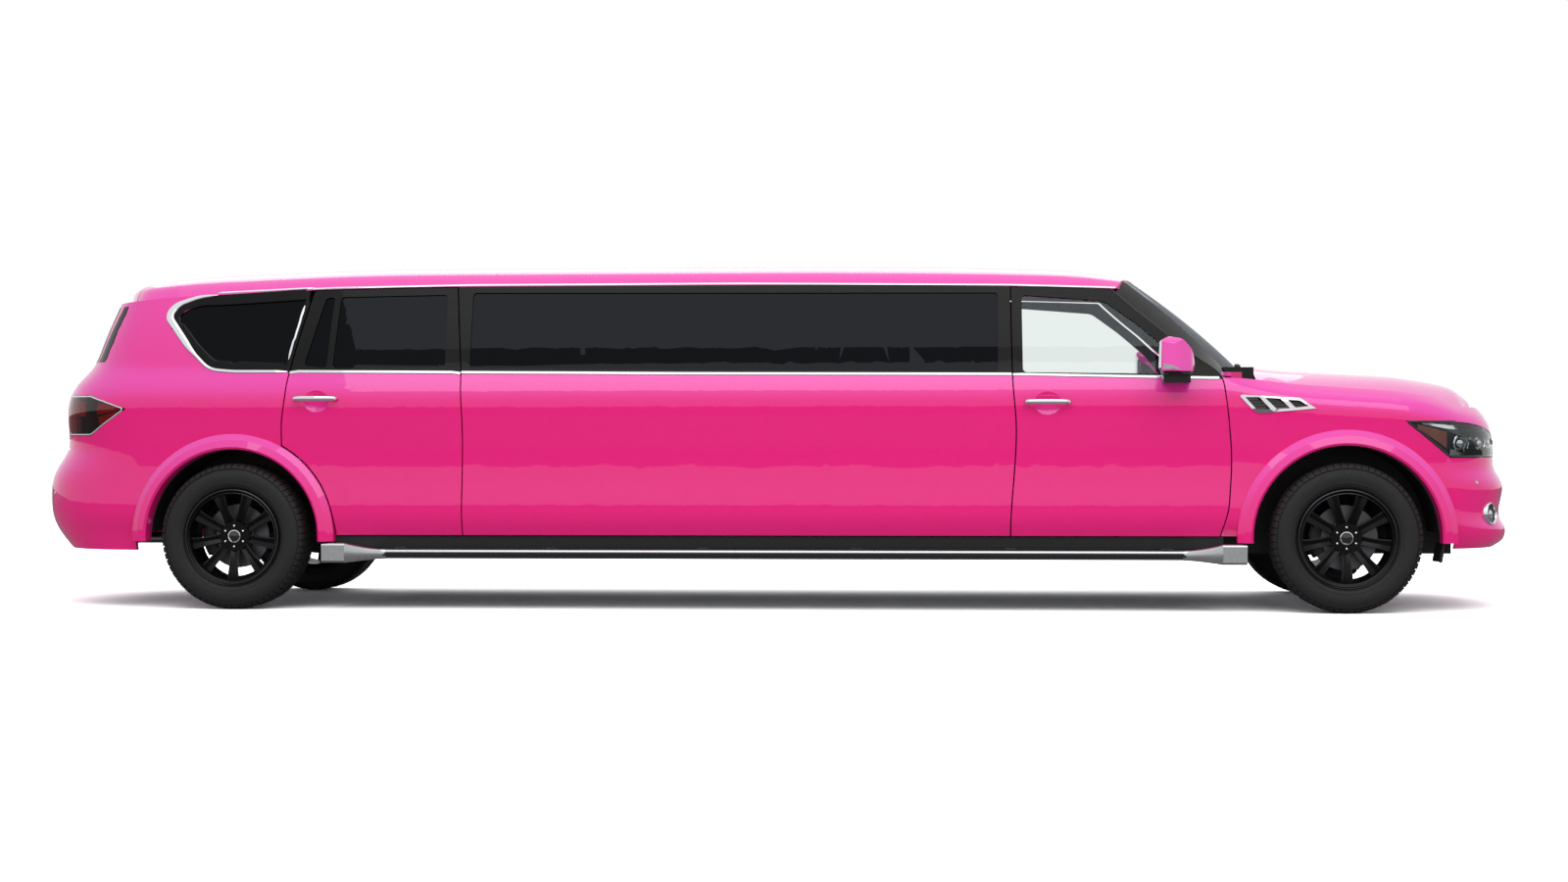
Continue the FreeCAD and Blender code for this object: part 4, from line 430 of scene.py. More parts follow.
    # Nylon thread: pale twisted line round each cushion.
    stitch = Finish("bonded_nylon_thread", "4A4846", "5A5856", 0.6, Grain.BRUSHED, 1.0, 0.1)
    # Dark display: a black mirror under clear plastic.
    screen = Finish("switched_off_display", "05060A", "080A10", 0.08, Grain.POLISHED, 50.0, 0.0,
                    coat=0.5)


# Mesh tools


class Forms:
    """Builds mesh objects whose place is in the mesh."""

    @staticmethod
    def linked(name: str, data: bpy.types.ID) -> Piece:
        """Object with the given data, put in the scene."""
        made = bpy.data.objects.new(name, data)
        bpy.context.scene.collection.objects.link(made)
        return made

    @staticmethod
    def mesh(name: str, points: Sequence[Point], faces: Sequence[Sequence[int]],
             finish: Finish, sharp_degrees: float = 35.0) -> Piece:
        """Make one smooth-shaded object with outward faces.

        Args:
            name: Name of the piece.
            points: Corner points in metres.
            faces: Corner numbers of each face.
            finish: What the piece is made of.
            sharp_degrees: Edges that turn by more stay crisp.

        Returns:
            The new object.
        """
        data = bpy.data.meshes.new(name)
        data.from_pydata([tuple(p) for p in points], [], [tuple(f) for f in faces])
        shape = bmesh.new()
        shape.from_mesh(data)
        bmesh.ops.remove_doubles(shape, verts=shape.verts, dist=1e-5)
        bmesh.ops.recalc_face_normals(shape, faces=shape.faces)
        shape.to_mesh(data)
        shape.free()
        data.polygons.foreach_set("use_smooth", [True] * len(data.polygons))
        data.set_sharp_from_angle(angle=math.radians(sharp_degrees))
        data.materials.append(finish.build())
        return Forms.linked(name, data)

    @staticmethod
    def joined(name: str, parts: Sequence[Piece]) -> Piece:
        """Join objects into the first one, keeping each one's finish."""
        first = parts[0]
        if len(parts) > 1:
            with bpy.context.temp_override(active_object=first, object=first,
                                           selected_objects=list(parts),
                                           selected_editable_objects=list(parts)):
                bpy.ops.object.join()
        first.name = name
        first.data.name = name
        return first

    @staticmethod
    def loft(name: str, rows: Sequence[Sequence[Point]], finish: Finish,
             sharp_degrees: float = 35.0, closed: bool = False) -> Piece:
        """Skin loops of points, and fill the two end loops.

        Args:
            name: Name of the piece.
            rows: Loops that have the same count of points.
            finish: What the piece is made of.
            sharp_degrees: Edges that turn by more stay crisp.
            closed: Whether the last loop joins the first one, which leaves no ends.

        Returns:
            The new object.
        """
        count = len(rows[0])
        faces = []
        for i in range(len(rows) if closed else len(rows) - 1):
            a, b = i * count, ((i + 1) % len(rows)) * count
            for k in range(count):
                n = (k + 1) % count
                faces.append((a + k, a + n, b + n, b + k))
        if not closed:
            faces.append(range(count))
            faces.append([(len(rows) - 1) * count + k for k in reversed(range(count))])
        return Forms.mesh(name, [p for row in rows for p in row], faces, finish, sharp_degrees)

    @staticmethod
    def turned(name: str, profile: Path, centre: Point, steps_round: int, axis: Point,
               finish: Finish, sharp_degrees: float = 35.0) -> Piece:
        """Turn a closed profile about an axis.

        Args:
            name: Name of the piece.
            profile: Pairs of radius and place along the axis.
            centre: Point on the axis where that place is zero.
            steps_round: Count of steps round.
            axis: Direction of the axis.
            finish: What the piece is made of.
            sharp_degrees: Edges that turn by more stay crisp.

        Returns:
            The new object.
        """
        turn = Vector((0, 1, 0)).rotation_difference(Vector(axis).normalized()).to_matrix()
        rows = [[Vector(centre) + turn @ Vector((r * math.sin(a), y, r * math.cos(a)))
                 for r, y in profile] for a in angles(steps_round)]
        return Forms.loft(name, rows, finish, sharp_degrees, closed=True)

    @staticmethod
    def tube(name: str, points: Sequence[Point], radius: float, finish: Finish,
             sides: int = 8, closed: bool = False) -> Piece:
        """Make a round bar along a line of points in space."""
        spots = [Vector(p) for p in points]
        rows = []
        for i, spot in enumerate(spots):
            before, after = neighbours(spots, i, closed)
            way = (after - before).normalized()
            up = Vector((0, 0, 1)) if abs(way.z) < 0.9 else Vector((1, 0, 0))
            side = way.cross(up).normalized()
            up = side.cross(way)
            rows.append([spot + radius * (side * math.cos(a) + up * math.sin(a))
                         for a in angles(sides)])
        return Forms.loft(name, rows, finish, 50, closed)

    @staticmethod
    def block(name: str, low: Point, high: Point, finish: Finish, width: float = 0.0,
              segments: int = 2, angle_degrees: float = 40.0) -> Piece:
        """Make a box between two corners, with its edges rounded by a width."""
        (a, b, c), (d, e, f) = low, high
        points = [(a, b, c), (d, b, c), (d, e, c), (a, e, c),
                  (a, b, f), (d, b, f), (d, e, f), (a, e, f)]
        faces = [(0, 3, 2, 1), (4, 5, 6, 7), (0, 1, 5, 4), (1, 2, 6, 5), (2, 3, 7, 6), (3, 0, 4, 7)]
        made = Forms.mesh(name, points, faces, finish)
        return Forms.bevelled(made, width, segments, angle_degrees) if width else made

    @staticmethod
    def bevelled(target: Piece, width: float, segments: int, angle_degrees: float) -> Piece:
        """Round the edges of an object and keep the result as its mesh."""
        bevel = target.modifiers.new("bevel", "BEVEL")
        bevel.width = width
        bevel.segments = segments
        bevel.limit_method = "ANGLE"
        bevel.angle_limit = math.radians(angle_degrees)
        return Forms.settled(target)

    @staticmethod
    def settled(target: Piece) -> Piece:
        """Turn an object's modifiers into plain mesh."""
        graph = bpy.context.evaluated_depsgraph_get()
        data = bpy.data.meshes.new_from_object(target.evaluated_get(graph))
        target.modifiers.clear()
        old = target.data
        target.data = data
        data.name = target.name
        bpy.data.meshes.remove(old)
        return target


def fitted(name: str, parts: Sequence[Piece], body: str, replaced: str = "") -> Piece:
    """Join parts into one piece and say where it belongs.

    Args:
        name: Name of the piece.
        parts: Objects that become the piece.
        body: Body that the piece rides on.
        replaced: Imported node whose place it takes, if any.

    Returns:
        The piece.
    """
    made = Forms.joined(name, parts)
    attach(made, body)
    if replaced:
        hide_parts(replaced)
    return made


# Lines and angles


def angles(count: int) -> list[float]:
    """Even angles of a full turn, from zero."""
    return [2 * math.pi * k / count for k in range(count)]


def steps(a: float, b: float, count: int) -> list[float]:
    """Even steps from a to b, both included."""
    return [a + (b - a) * i / count for i in range(count + 1)]


def run(a: Point, b: Point, count: int) -> list[tuple[float, float]]:
    """Evenly spaced points from a to b, both included."""
    return list(zip(steps(a[0], b[0], count), steps(a[1], b[1], count)))


def neighbours(spots: Sequence[Vector], i: int, closed: bool) -> tuple[Vector, Vector]:
    """Spots before and after one. An end of an open line is its own neighbour."""
    if closed:
        return spots[i - 1], spots[(i + 1) % len(spots)]
    return spots[max(0, i - 1)], spots[min(len(spots) - 1, i + 1)]


def between(top: Path, foot: Path, share: float) -> list:
    """Line a share of the way down from a top edge to a foot edge."""
    return [(a[0], a[1] + (b[1] - a[1]) * share) for a, b in zip(top, foot)]


def part_of(line: Path, first: float, last: float) -> list:
    """Part of a line between two shares of its count."""
    return list(line[round(first * (len(line) - 1)):round(last * (len(line) - 1)) + 1])


def along(table: Path, place: float) -> float:
    """Value of a table of (place, value) pairs at a place, with straight runs between."""
    if place <= table[0][0]:
        return table[0][1]
    for (a, u), (b, v) in zip(table, table[1:]):
        if place <= b:
            return u + (v - u) * (place - a) / (b - a)
    return table[-1][1]


def even(points: Path, count: int) -> list[tuple[float, float]]:
    """The same path, laid out again at count equal steps."""
    lengths = [0.0]
    for a, b in zip(points, points[1:]):
        lengths.append(lengths[-1] + math.dist(a, b))
    across, up = ([(d, p[k]) for d, p in zip(lengths, points)] for k in (0, 1))
    return [(along(across, d), along(up, d)) for d in steps(0.0, lengths[-1], count)]


def rounded(points: Path, radius: float) -> list[tuple[float, float]]:
    """Path through points with its corners rounded and its runs divided."""
    path = [points[0]]
    for before, corner, after in zip(points, points[1:], points[2:]):
        knee = Vector(corner)
        a, b = Vector(before) - knee, Vector(after) - knee
        reach = min(radius, a.length * 0.45, b.length * 0.45)
        start, end = knee + a.normalized() * reach, knee + b.normalized() * reach
        for t in steps(0.0, 1.0, 5):
            path.append(tuple(start * (1 - t) ** 2 + knee * 2 * t * (1 - t) + end * t ** 2))
    path.append(points[-1])
    dense = [path[0]]
    for a, b in zip(path, path[1:]):
        dense += run(a, b, max(1, round(math.dist(a, b) / 0.05)))[1:]
    return dense


def rounded_box(half_wide: float, half_high: float, radius: float,
                corner_steps: int) -> list[tuple[float, float]]:
    """Rectangle round the origin with its corners rounded."""
    a, b = half_wide - radius, half_high - radius
    loop = []
    for x, y, first in ((a, b, 0), (-a, b, 90), (-a, -b, 180), (a, -b, 270)):
        for k in range(corner_steps + 1):
            turn = math.radians(first + 90 / corner_steps * k)
            loop.append((x + radius * math.cos(turn), y + radius * math.sin(turn)))
    return loop


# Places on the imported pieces


def face_tree(data: bpy.types.Mesh) -> BVHTree:
    """Search tree over the faces of a mesh."""
    return BVHTree.FromPolygons([v.co.copy() for v in data.vertices],
                                [list(p.vertices) for p in data.polygons])


def sight(view: float, side: int) -> tuple[Vector, Vector]:
    """Directions towards the viewer and across the view, at degrees from the front."""
    a = math.radians(view)
    return (Vector((math.cos(a), math.sin(a) * side, 0)),
            Vector((math.sin(a), -math.cos(a) * side, 0)))


class Skin:
    """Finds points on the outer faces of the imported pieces.

    A view is in degrees from the front (0) by the side (90) to the tail (180). A side is
    1 for the left and -1 for the right.
    """

    far = 6.0
    reach = 9.0

    def __init__(self) -> None:
        """Start with no trees; each is made when it is first asked for."""
        self.trees: dict[str, BVHTree] = {}

    def tree(self, node: str) -> BVHTree:
        """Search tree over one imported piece."""
        if node not in self.trees:
            self.trees[node] = face_tree(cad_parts[node].data)
        return self.trees[node]

    def side(self, node: str, x: float, z: float, side: int) -> tuple[Vector, Vector]:
        """Nearest point on a side of the car and its outward normal, seen from outside."""
        tree = self.tree(node)
        point, normal, _, _ = tree.ray_cast(Vector((x, side * 3.0, z)), Vector((0, -side, 0)), 3.0)
        if point is None or abs(point.y) < 0.6:
            point, normal, _, _ = tree.find_nearest(Vector((x, side * 0.95, z)))
        if normal.y * side < 0:
            normal = -normal
        return point, normal.normalized()

    def cast(self, node: str, t: float, z: float, view: float, side: int,
             inside: bool = False) -> tuple[Vector, Vector]:
        """Point and normal on the skin, looked at level from any direction.

        Args:
            node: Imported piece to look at.
            t: Place across the view: X at 90 degrees, and minus the distance from the
                middle plane at 0 degrees.
            z: Height.
            view: Direction of the view.
            side: Side of the car.
            inside: Whether the skin is looked at from the cabin.

        Returns:
            The point on the skin and the normal towards the viewer.
        """
        out, across = sight(view, side)
        start = across * t + Vector((0, 0, z))
        way = out if inside else -out
        tree = self.tree(node)
        point, normal, _, _ = tree.ray_cast(start if inside else start + out * self.far, way,
                                            self.reach)
        if point is None:
            near = 0.9 if abs(out.y) > 0.7 else 3.9
            point, normal, _, _ = tree.find_nearest(start + out * near)
        if normal.dot(way) > 0:
            normal = -normal
        return point, normal.normalized()

    def edges(self, node: str, view: float, span: tuple[float, float],
              heights: tuple[float, float], inset: float) -> tuple[list, list]:
        """Top and foot edges of the left one of two lenses or mirrors.

        Args:
            node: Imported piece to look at.
            view: Direction of the view.
            span: First and last place across the view that are tried.
            heights: Lowest and highest place that are tried.
            inset: How far the edges are drawn in.

        Returns:
            The top edge and the foot edge, as (t, z) pairs.
        """
        out, across = sight(view, 1)
        tree = self.tree(node)
        step = 0.002
        top, foot = [], []
        for t in steps(*span, 40):
            hits = []
            for k in range(int((heights[1] - heights[0]) / step)):
                z = heights[0] + k * step
                point = tree.ray_cast(across * t + Vector((0, 0, z)) + out * self.far, -out,
                                      self.reach)[0]
                if point is not None and point.y > 0:
                    hits.append(z)
            if hits and hits[-1] - hits[0] > 2 * inset + step * 2:
                top.append((t, hits[-1] - inset))
                foot.append((t, hits[0] + inset))
        return top, foot


@dataclass
class Strip:
    """A moulding of domed section that follows the skin.

    The widths are pairs of a share of the length and a width. The taper is the length
    over which an end fades out.
    """

    name: str
    body: str
    node: str
    finish: Finish
    points: Path
    width: float
    height: float = 0.005
    sink: float = 0.001
    widths: Optional[Path] = None
    taper: float = 0.0
    view: float = 90.0
    closed: bool = False
    slot: str = "chrome"
    arc: int = 8

    def build(self, skin: Skin, side: int) -> Piece:
        """Make the strip on one side, riding on its body."""
        if self.view == 90.0:
            spots = [skin.side(self.node, x, z, side) for x, z in self.points]
        else:
            spots = [skin.cast(self.node, t, z, self.view, side) for t, z in self.points]
        line = [spot for spot, _ in spots]
        total = len(spots) - 1
        rows = []
        for i, (point, normal) in enumerate(spots):
            before, after = neighbours(line, i, self.closed)
            across = normal.cross((after - before).normalized()).normalized()
            share = i / total
            half = (along(self.widths, share) if self.widths else self.width) / 2
            rise = self.height
            end = min(share, 1 - share) * (after - before).length * total / 2
            if self.taper and end < self.taper:
                rise *= max(0.15, math.sqrt(end / self.taper))
                half *= max(0.3, math.sqrt(end / self.taper))
            row = [point - normal * self.sink + across * half]
            for k in range(1, self.arc):
                a = math.pi * k / self.arc
                row.append(point + across * half * math.cos(a) + normal * rise * math.sin(a) ** 0.7)
            row.append(point - normal * self.sink - across * half)
            rows.append(row)
        made = Forms.loft(self.name, rows, self.finish, 60, self.closed)
        return fitted(self.name, [made], self.body)


@dataclass
class Patch:
    """A thin shell that follows the skin between a top edge and a foot edge.

    The lift is how far its face stands off the skin, and the counts are its steps along
    the edges and from edge to edge.
    """

    name: str
    body: str
    node: str
    finish: Finish
    top: Path
    foot: Path
    lift: float = 0.001
    depth: float = 0.002
    view: float = 90.0
    counts: tuple[int, int] = (24, 6)
    inside: bool = False
    slot: str = "black_plastic"

    def build(self, skin: Skin, side: int) -> Piece:
        """Make the patch on one side, riding on its body."""
        wide, high = self.counts
        rows = []
        for a, b in zip(even(self.top, wide), even(self.foot, wide)):
            outer, inner = [], []
            for t, z in run(a, b, high):
                point, normal = skin.cast(self.node, t, z, self.view, side, self.inside)
                outer.append(point + normal * self.lift)
                inner.append(point + normal * (self.lift - self.depth))
            rows.append(outer + inner[::-1])
        made = Forms.loft(self.name, rows, self.finish, 40)
        return fitted(self.name, [made], self.body)


class Spread:
    """A Geometry Nodes tree that repeats a block round an axis or along a line."""

    name = "spread_block"

    @classmethod
    def tree(cls) -> Tree:
        """Make the tree, or return it if it was made before."""
        made = bpy.data.node_groups.get(cls.name)
        if made is not None:
            return made
        made = bpy.data.node_groups.new(cls.name, "GeometryNodeTree")
        for label, kind in (("Geometry", "Geometry"), ("Count", "Int"), ("Centre", "Vector"),
                            ("Move", "Vector"), ("Turn", "Vector"), ("Finish", "Material")):
            made.interface.new_socket(label, in_out="INPUT", socket_type="NodeSocket" + kind)
        made.interface.new_socket("Geometry", in_out="OUTPUT", socket_type="NodeSocketGeometry")
        entry = add_node(made, "NodeGroupInput").outputs
        number = add_node(made, "GeometryNodeInputIndex").outputs[0]
        move, turn = (add_node(made, "ShaderNodeVectorMath", {"operation": "SCALE"},
                               {0: entry[label], "Scale": number}).outputs[0]
                      for label in ("Move", "Turn"))
        place = add_node(made, "ShaderNodeVectorMath", {"operation": "ADD"},
                         {0: entry["Centre"], 1: move})
        back = add_node(made, "ShaderNodeVectorMath", {"operation": "SCALE", "Scale": -1.0},
                        {0: entry["Centre"]})
        spin = add_node(made, "FunctionNodeEulerToRotation", {}, {0: turn})
        spots = add_node(made, "GeometryNodePoints", {},
                         {"Count": entry["Count"], "Position": place.outputs[0]})
        block = add_node(made, "GeometryNodeTransform", {},
                         {"Geometry": entry["Geometry"], "Translation": back.outputs[0]})
        many = add_node(made, "GeometryNodeInstanceOnPoints", {}, {
            "Points": spots.outputs[0], "Instance": block.outputs[0],
            "Rotation": spin.outputs[0]})
        real = add_node(made, "GeometryNodeRealizeInstances", {}, {0: many.outputs[0]})
        dressed = add_node(made, "GeometryNodeSetMaterial", {},
                           {"Geometry": real.outputs[0], "Material": entry["Finish"]})
        add_node(made, "NodeGroupOutput", {}, {0: dressed.outputs[0]})
        return made

    @classmethod
    def repeat(cls, block: Piece, finish: Finish, count: int, centre: Point = (0, 0, 0),
               move: Point = (0, 0, 0), turn: Point = (0, 0, 0)) -> Piece:
        """Repeat a block and keep the result as plain mesh.

        Args:
            block: Object that holds the first block in its place.
            finish: What all blocks are made of.
            count: How many blocks there are.
            centre: Point that the blocks turn about.
            move: Step from one block to the next.
            turn: Turn from one block to the next, in radians about X, Y and Z.

        Returns:
            The same object with all blocks.
        """
        tree = cls.tree()
        changer = block.modifiers.new("spread", "NODES")
        changer.node_group = tree
        values = {"Count": count, "Centre": [float(c) for c in centre],
                  "Move": [float(c) for c in move], "Turn": [float(c) for c in turn],
                  "Finish": finish.build()}
        for item in tree.interface.items_tree:
            if item.in_out == "INPUT" and item.name in values:
                changer[item.identifier] = values[item.name]
        return Forms.settled(block)


# Sub-assemblies


@dataclass
class Paintwork:
    """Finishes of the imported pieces. A star in a name stands for left and right."""

    table: tuple[tuple[Finish, str], ...] = (
        (Finishes.body, "roof fenders front_bumper rear_bumper hood tailgate"),
        (Finishes.doors, "stretch_panels front_door_* rear_door_*"),
        (Finishes.quarters, "quarter_panels"),
        (Finishes.black_enamel, "windshield_frame"),
        (Finishes.mirror_shell, "mirror_*"),
        (Finishes.glass_clear, "windshield front_door_glass_*"),
        (Finishes.glass_dark, "side_glass tailgate_glass rear_door_glass_*"),
        (Finishes.lens, "front_lamps"),
        (Finishes.red_lens, "tail_lamps"),
        (Finishes.chrome, "grille fender_vents front_handle_* rear_handle_*"),
        (Finishes.aluminium, "running_boards"),
        (Finishes.frame_steel, "chassis_frame rear_axle front_suspension"),
        (Finishes.steel, "driveshaft exhaust"),
        (Finishes.cast_iron, "engine_block knuckle_*"),
        (Finishes.plastic, "wheel_liners fuel_tank"),
        (Finishes.carpet, "floor_pan"),
        (Finishes.trim, "dashboard partition"),
        (Finishes.leather, "steering_wheel front_seats lounge_seats"),
        (Finishes.wheel, "wheel_front_* wheel_rear_*"),
        (Finishes.tyre, "tyre_front_* tyre_rear_*"))

    def build(self) -> None:
        """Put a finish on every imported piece."""
        finishes = {name.replace("*", word): finish for finish, names in self.table
                    for name in names.split() for _, word in SIDES}
        for name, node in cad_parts.items():
            node.data.materials.clear()
            node.data.materials.append(finishes[name].build())
            log.info("%s: %s", name, finishes[name].name)


@dataclass
class BrightTrim:
    """Chrome mouldings along the belt, over the doors and round the quarter windows."""

    skin: Skin
    belt: Path = (
        (-2.606, 1.324), (-2.559, 1.324), (-0.369, 1.306), (1.398, 1.297), (2.505, 1.272))
    top: Path = (
        (-2.946, 1.771), (-2.391, 1.796), (-1.620, 1.808), (-0.098, 1.808), (1.399, 1.792),
        (2.033, 1.772))
    quarter: Path = (
        (-2.612, 1.324), (-2.931, 1.325), (-3.062, 1.338), (-3.175, 1.448), (-3.318, 1.640),
        (-3.272, 1.706), (-3.155, 1.748), (-3.040, 1.760))
    quarter_widths: Path = (
        (0.0, 0.020), (0.40, 0.020), (0.52, 0.040), (0.72, 0.046), (0.84, 0.028), (1.0, 0.015))
    quarter_middle: Point = (-2.90, 1.55)
    band_inset: float = 0.028
    belt_height: float = 0.020
    top_height: float = 0.014

    def build(self) -> None:
        """Make the mouldings on both sides."""
        middle = Vector(self.quarter_middle)
        band = [tuple(Vector(c) + (middle - Vector(c)).normalized() * self.band_inset)
                for c in self.quarter[:-1]] + [(-3.000, 1.732), (-2.537, 1.760)]
        over_doors = [(x, along(self.top, x)) for x in steps(-2.500, 2.060, 110)]
        for side, word in SIDES:
            front, rear = "front_door_" + word, "rear_door_" + word
            for name, body, node, x0, x1 in (
                    ("belt_rear_door_", rear, rear, -2.601, -1.635),
                    ("belt_stretch_", "vehicle", "stretch_panels", -1.628, 1.410),
                    ("belt_front_door_", front, front, 1.418, 2.528)):
                line = [(x, along(self.belt, x))
                        for x in steps(x0, x1, max(8, int((x1 - x0) / 0.05)))]
                Strip(name + word, body, node, Finishes.chrome, line,
                      self.belt_height).build(self.skin, side)
            for strip in (
                    Strip("roof_moulding_" + word, "vehicle", "roof", Finishes.chrome,
                          over_doors, self.top_height, 0.004),
                    Strip("quarter_surround_" + word, "vehicle", "quarter_panels",
                          Finishes.chrome, rounded(self.quarter, 0.05), 0.020, 0.006,
                          widths=self.quarter_widths, taper=0.02),
                    Strip("quarter_moulding_" + word, "vehicle", "roof", Finishes.chrome,
                          run((-3.050, 1.7725), (-2.490, 1.7975), 24), 0.014, 0.004, taper=0.03),
                    Strip("quarter_band_" + word, "vehicle", "quarter_panels", Finishes.frit,
                          rounded(band, 0.04), 0.064, 0.0022, 0.0005, slot="black_plastic"),
                    Strip("quarter_post_bar_" + word, "vehicle", "quarter_panels",
                          Finishes.chrome, run((-2.611, 1.393), (-2.540, 1.733), 10), 0.014,
                          0.005, taper=0.02)):
                strip.build(self.skin, side)
        log.info("bright trim: done")


def wheels() -> Iterator[tuple[str, str, int, Vector]]:
    """End, word of the side, number of the side and centre of each wheel."""
    for end, x in AXLES:
        for side, word in SIDES:
            yield end, word, side, Vector((x, side * WHEEL_Y, TYRE_RADIUS))


@dataclass
class Tyres:
    """Tyre carcass with sidewall ridges, and its tread as repeated blocks.

    A row of tread is its two edges across the tyre and its phase as a share of the pitch.
    """

    groove: float = 0.0085
    pitches: int = 66
    gap_share: float = 0.16
    rows: tuple[tuple[float, float, float], ...] = (
        (-0.078, -0.046, 0.5), (-0.038, -0.012, 0.0), (-0.005, 0.005, 0.25),
        (0.012, 0.038, 0.5), (0.046, 0.078, 0.0))
    sidewall: Path = (
        (0.3970, 0.094), (0.3935, 0.108), (0.3860, 0.1190), (0.3765, 0.1265), (0.3740, 0.1290),
        (0.3715, 0.1280), (0.3600, 0.1335), (0.3450, 0.1368), (0.3300, 0.1375), (0.3150, 0.1362),
        (0.3010, 0.1325), (0.2990, 0.1338), (0.2965, 0.1318), (0.2850, 0.1262), (0.2745, 0.1195),
        (0.2722, 0.1178), (0.2560, 0.1075))
    shoulder: Path = (
        (0.3960, 0.086), (0.4050, 0.086), (0.4055, 0.088), (0.4035, 0.106), (0.3960, 0.1205),
        (0.3850, 0.1290), (0.3800, 0.1310), (0.3795, 0.1240), (0.3860, 0.1185), (0.3930, 0.1060))

    def build(self) -> None:
        """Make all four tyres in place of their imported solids."""
        top = TYRE_RADIUS
        base = top - self.groove
        for end, word, _, centre in wheels():
            place = end + "_" + word
            profile = [(r, -y) for r, y in reversed(self.sidewall)] + [(base, 0.0)]
            profile += self.sidewall
            parts = [Forms.turned("carcass", profile, centre, 128, (0, 1, 0), Finishes.tyre)]
            for y0, y1, phase in self.rows:
                parts.append(self.tread("rib", centre, [
                    (base - 0.001, y0), (top - 0.0012, y0), (top, y0 + 0.0015),
                    (top, y1 - 0.0015), (top - 0.0012, y1), (base - 0.001, y1)], phase))
            for way, phase in ((1, 0.0), (-1, 0.5)):
                parts.append(self.tread("shoulder", centre,
                                        [(r, way * y) for r, y in self.shoulder], phase))
            fitted("tyre_" + place + "_treaded", parts, "wheel_" + place, "tyre_" + place)
        log.info("tyres: done")

    def tread(self, name: str, centre: Vector, profile: Path, phase: float) -> Piece:
        """One row of tread blocks round the tyre."""
        pitch = 2 * math.pi / self.pitches
        half = pitch * (1 - self.gap_share) / 2
        rows = [[(centre.x + r * math.sin(a), centre.y + y, centre.z + r * math.cos(a))
                 for r, y in profile] for a in (phase * pitch - half, phase * pitch + half)]
        return Spread.repeat(Forms.loft(name, rows, Finishes.tyre), Finishes.tyre,
                             self.pitches, centre, turn=(0, pitch, 0))


Turned = tuple[str, Finish, int, Path]


